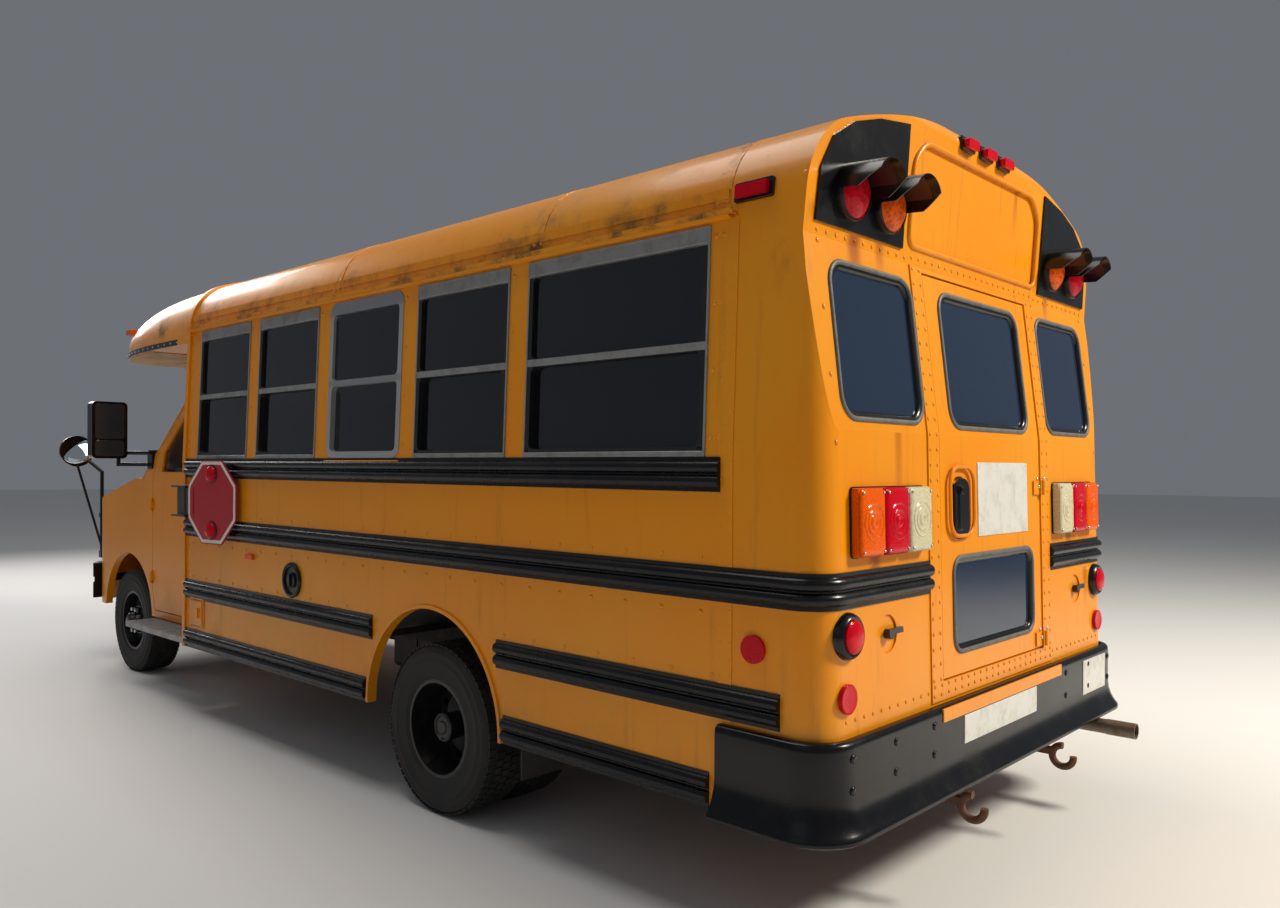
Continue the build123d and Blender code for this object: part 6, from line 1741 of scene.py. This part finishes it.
# %% treads of the running board and bolts of the rear door's hinges
TREAD_FOOT_Z, TREAD_HIGH = 0.439, 0.0045
TREADS, FIRST_TREAD_Y, TREAD_STEP = 11, 0.975, 0.020
HINGE_LEAVES = (("emergency_door", -0.428), ("bus", -0.492))
HINGES_Z = (0.802, 1.425)
board_low, board_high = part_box("running_board")
treads = Form()
for i in range(TREADS):
    y = FIRST_TREAD_Y + TREAD_STEP * i
    start = (board_low[0] + 0.020, y - 0.004, TREAD_FOOT_Z)
    treads.block(start, (board_high[0] - 0.020, y + 0.004, TREAD_FOOT_Z + TREAD_HIGH), 0.001)
treads.done("running_board_treads", "bus", DULL_ALUMINIUM)
for owner, y in HINGE_LEAVES:
    spots = [rear_touch(y, z + rise) for z in HINGES_Z for rise in (0.004, 0.036)]
    studs(f"hinge_bolts_{owner}", spots, owner, 0.018, 0.012, BRIGHT_BOLT)
print("treads and hinge bolts done")

# %% [markdown]
# ## Bumpers with soft edges
# The front bumper is a cleaned copy of its CAD piece, and a Bevel modifier rounds whatever turns
# sharply, so the edges catch the light as pressed steel does. The rear bumper is one pressed section
# with a flared lip, pushed along the wall and round both corners. Both stand for their nodes.

# %% a bevelled front bumper and a pressed rear bumper
def softened(node, name, body, finish, width, segments=3, angle=25):
    """A copy of a CAD piece whose hard edges are rounded."""
    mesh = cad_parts[node].data.copy()
    mesh.name = name
    bm = bmesh.new()
    bm.from_mesh(mesh)
    bmesh.ops.remove_doubles(bm, verts=bm.verts, dist=1e-5)
    bmesh.ops.dissolve_limit(bm, angle_limit=math.radians(1.5), verts=bm.verts[:], edges=bm.edges[:])
    bm.to_mesh(mesh)
    bm.free()
    piece = bpy.data.objects.new(name, mesh)
    bpy.context.scene.collection.objects.link(piece)
    rounding = piece.modifiers.new("round", "BEVEL")
    rounding.width = width
    rounding.segments = segments
    rounding.limit_method = "ANGLE"
    rounding.angle_limit = math.radians(angle)
    graph = bpy.context.evaluated_depsgraph_get()
    rounded_mesh = bpy.data.meshes.new_from_object(piece.evaluated_get(graph))
    piece.modifiers.clear()
    piece.data = rounded_mesh
    rounded_mesh.materials.clear()
    rounded_mesh.materials.append(finish.material)
    faces = rounded_mesh.polygons
    faces.foreach_set("material_index", [0] * len(faces))
    faces.foreach_set("use_smooth", [True] * len(faces))
    rounded_mesh.set_sharp_from_angle(angle=math.radians(50))
    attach(piece, body)
    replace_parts(piece, node)
    print(name, len(faces), "faces")


BUMPER_SECTION = [  # out from the wall and height, down the outside and back up inside
    (0.003, 0.6900), (0.016, 0.6900), (0.0235, 0.6880), (0.0295, 0.6830), (0.0330, 0.6745),
    (0.0342, 0.6630), (0.0342, 0.6200), (0.0342, 0.5700), (0.0342, 0.5350), (0.0355, 0.5120),
    (0.0395, 0.4880), (0.0470, 0.4640), (0.0570, 0.4430), (0.0680, 0.4270), (0.0755, 0.4180),
    (0.0780, 0.4100), (0.0765, 0.4020), (0.0705, 0.3982), (0.0640, 0.4010), (0.0520, 0.4200),
    (0.0380, 0.4450), (0.0260, 0.4750), (0.0210, 0.5050), (0.0200, 0.6600), (0.0030, 0.6700),
]
BEND_R = 0.110
BUMPER_END_X = -1.588
bend_x, bend_y = REAR_X + BEND_R, BODY_HALF - BEND_R
half_path = []  # x, y and the way out of the wall, from the bumper's left end to its middle
for i in range(4):
    half_path.append((along(BUMPER_END_X + (bend_x - BUMPER_END_X) * i / 4), BODY_HALF, 0.0, 1.0))
for i in range(13):
    a = math.pi / 2 * i / 12
    out_x, out_y = -math.sin(a), math.cos(a)
    half_path.append((along(bend_x) + BEND_R * out_x, bend_y + BEND_R * out_y, out_x, out_y))
half_path += [(along(REAR_X), bend_y * (1 - i / 6), -1.0, 0.0) for i in range(1, 6)]
bumper_path = half_path + [(x, -y, out_x, -out_y) for x, y, out_x, out_y in half_path[::-1]]
pressed = Form()
rows = []
for x, y, out_x, out_y in bumper_path:
    rows.append([pressed.bm.verts.new((x + out_x * d, y + out_y * d, z)) for d, z in BUMPER_SECTION])
pressed.bridge(rows)
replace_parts(pressed.done("rear_bumper_pressing", "bus", BUMPER_BLACK, 40), "rear_bumper")
softened("front_bumper", "front_bumper_soft", "bus", BUMPER_BLACK, 0.010)

# %% [markdown]
# ## Stand and light
# The bus stands on a plain pale floor. The key light comes from behind it on the right and puts the
# rear in sun, as in the photograph, while a weak soft one fills the shaded left side. A light from
# above brightens the roof and one from ahead the front. The Standard view keeps the paint as bright
# as it is in the photograph.

# %% floor and lights
ground = bmesh.new()
bmesh.ops.create_circle(ground, cap_ends=True, radius=60.0, segments=64)
floor_mesh = bpy.data.meshes.new("floor")
ground.to_mesh(floor_mesh)
ground.free()
FLOOR = Finish("studio_floor", colour=(0.78, 0.77, 0.75), roughness=0.7)
floor_mesh.materials.append(FLOOR.material)
floor = bpy.data.objects.new("floor", floor_mesh)
bpy.context.scene.collection.objects.link(floor)
floor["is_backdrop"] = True

world = bpy.data.worlds.new("studio")
world.use_nodes = True
sky = world.node_tree.nodes["Background"].inputs
sky[0].default_value = (0.80, 0.86, 0.95, 1)
sky[1].default_value = 0.19
bpy.context.scene.world = world
bpy.context.scene.view_settings.view_transform = "Standard"


def area(name, spot, aim, size, watts, colour=(1, 1, 1)):
    """A square lamp at a spot that shines at an aim."""
    light = bpy.data.lights.new(name, "AREA")
    light.size = size
    light.energy = watts
    light.color = colour
    lamp = bpy.data.objects.new(name, light)
    bpy.context.scene.collection.objects.link(lamp)
    way = Vector(aim) - Vector(spot)
    lamp.matrix_world = Matrix.Translation(spot) @ way.to_track_quat("-Z", "Y").to_matrix().to_4x4()
    lamp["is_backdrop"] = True


area("key", (-10.0, -4.5, 8.0), (-2.5, 0.0, 1.3), 2.0, 1400, (1.0, 0.93, 0.80))
area("fill", (-3.0, 10.0, 6.5), (0.0, 0.0, 1.3), 6.0, 22, (0.92, 0.96, 1.0))
area("top", (0.0, 1.2, 8.5), (0.0, 0.6, 1.5), 5.0, 310, (1.0, 0.97, 0.92))
area("front", (11.0, 0.0, 6.0), (2.5, 0.0, 1.2), 4.0, 420, (1.0, 0.97, 0.94))
print("lights placed")

# %% [markdown]
# ## Camera
# The camera stands where the photographer stood. Its place, turn and lens were solved from points on
# the bus that could be found in the photograph.

# %% the photographer's camera
CAMERA_SPOT = Vector((-4.919, 3.684, 1.504))
YAW, PITCH, ROLL = (math.radians(v) for v in (-46.911, -0.154, 0.303))
forward = Vector((math.cos(YAW) * math.cos(PITCH), math.sin(YAW) * math.cos(PITCH), math.sin(PITCH)))
right = Vector((math.sin(YAW), -math.cos(YAW), 0.0))
upward = right.cross(forward)
rolled = right * math.cos(ROLL) + upward * math.sin(ROLL)
raised = upward * math.cos(ROLL) - right * math.sin(ROLL)
lens_data = bpy.data.cameras.new("photo_camera")
lens_data.lens = 27.678
lens_data.sensor_width = 36.0
lens_data.shift_x = 0.000519
lens_data.shift_y = 0.011836
camera = bpy.data.objects.new("photo_camera", lens_data)
aim = Matrix((rolled, raised, -forward)).transposed().to_4x4()
camera.matrix_world = Matrix.Translation(CAMERA_SPOT) @ aim
bpy.context.scene.collection.objects.link(camera)
bpy.context.scene.camera = camera
camera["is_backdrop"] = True
print("camera at", [round(v, 3) for v in CAMERA_SPOT])

# %% [markdown]
# ## Measure and finish
# The finished box is measured and printed.

# %% measure and finish
low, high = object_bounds()
print("finished box", [round(v, 3) for v in low], [round(v, 3) for v in high])
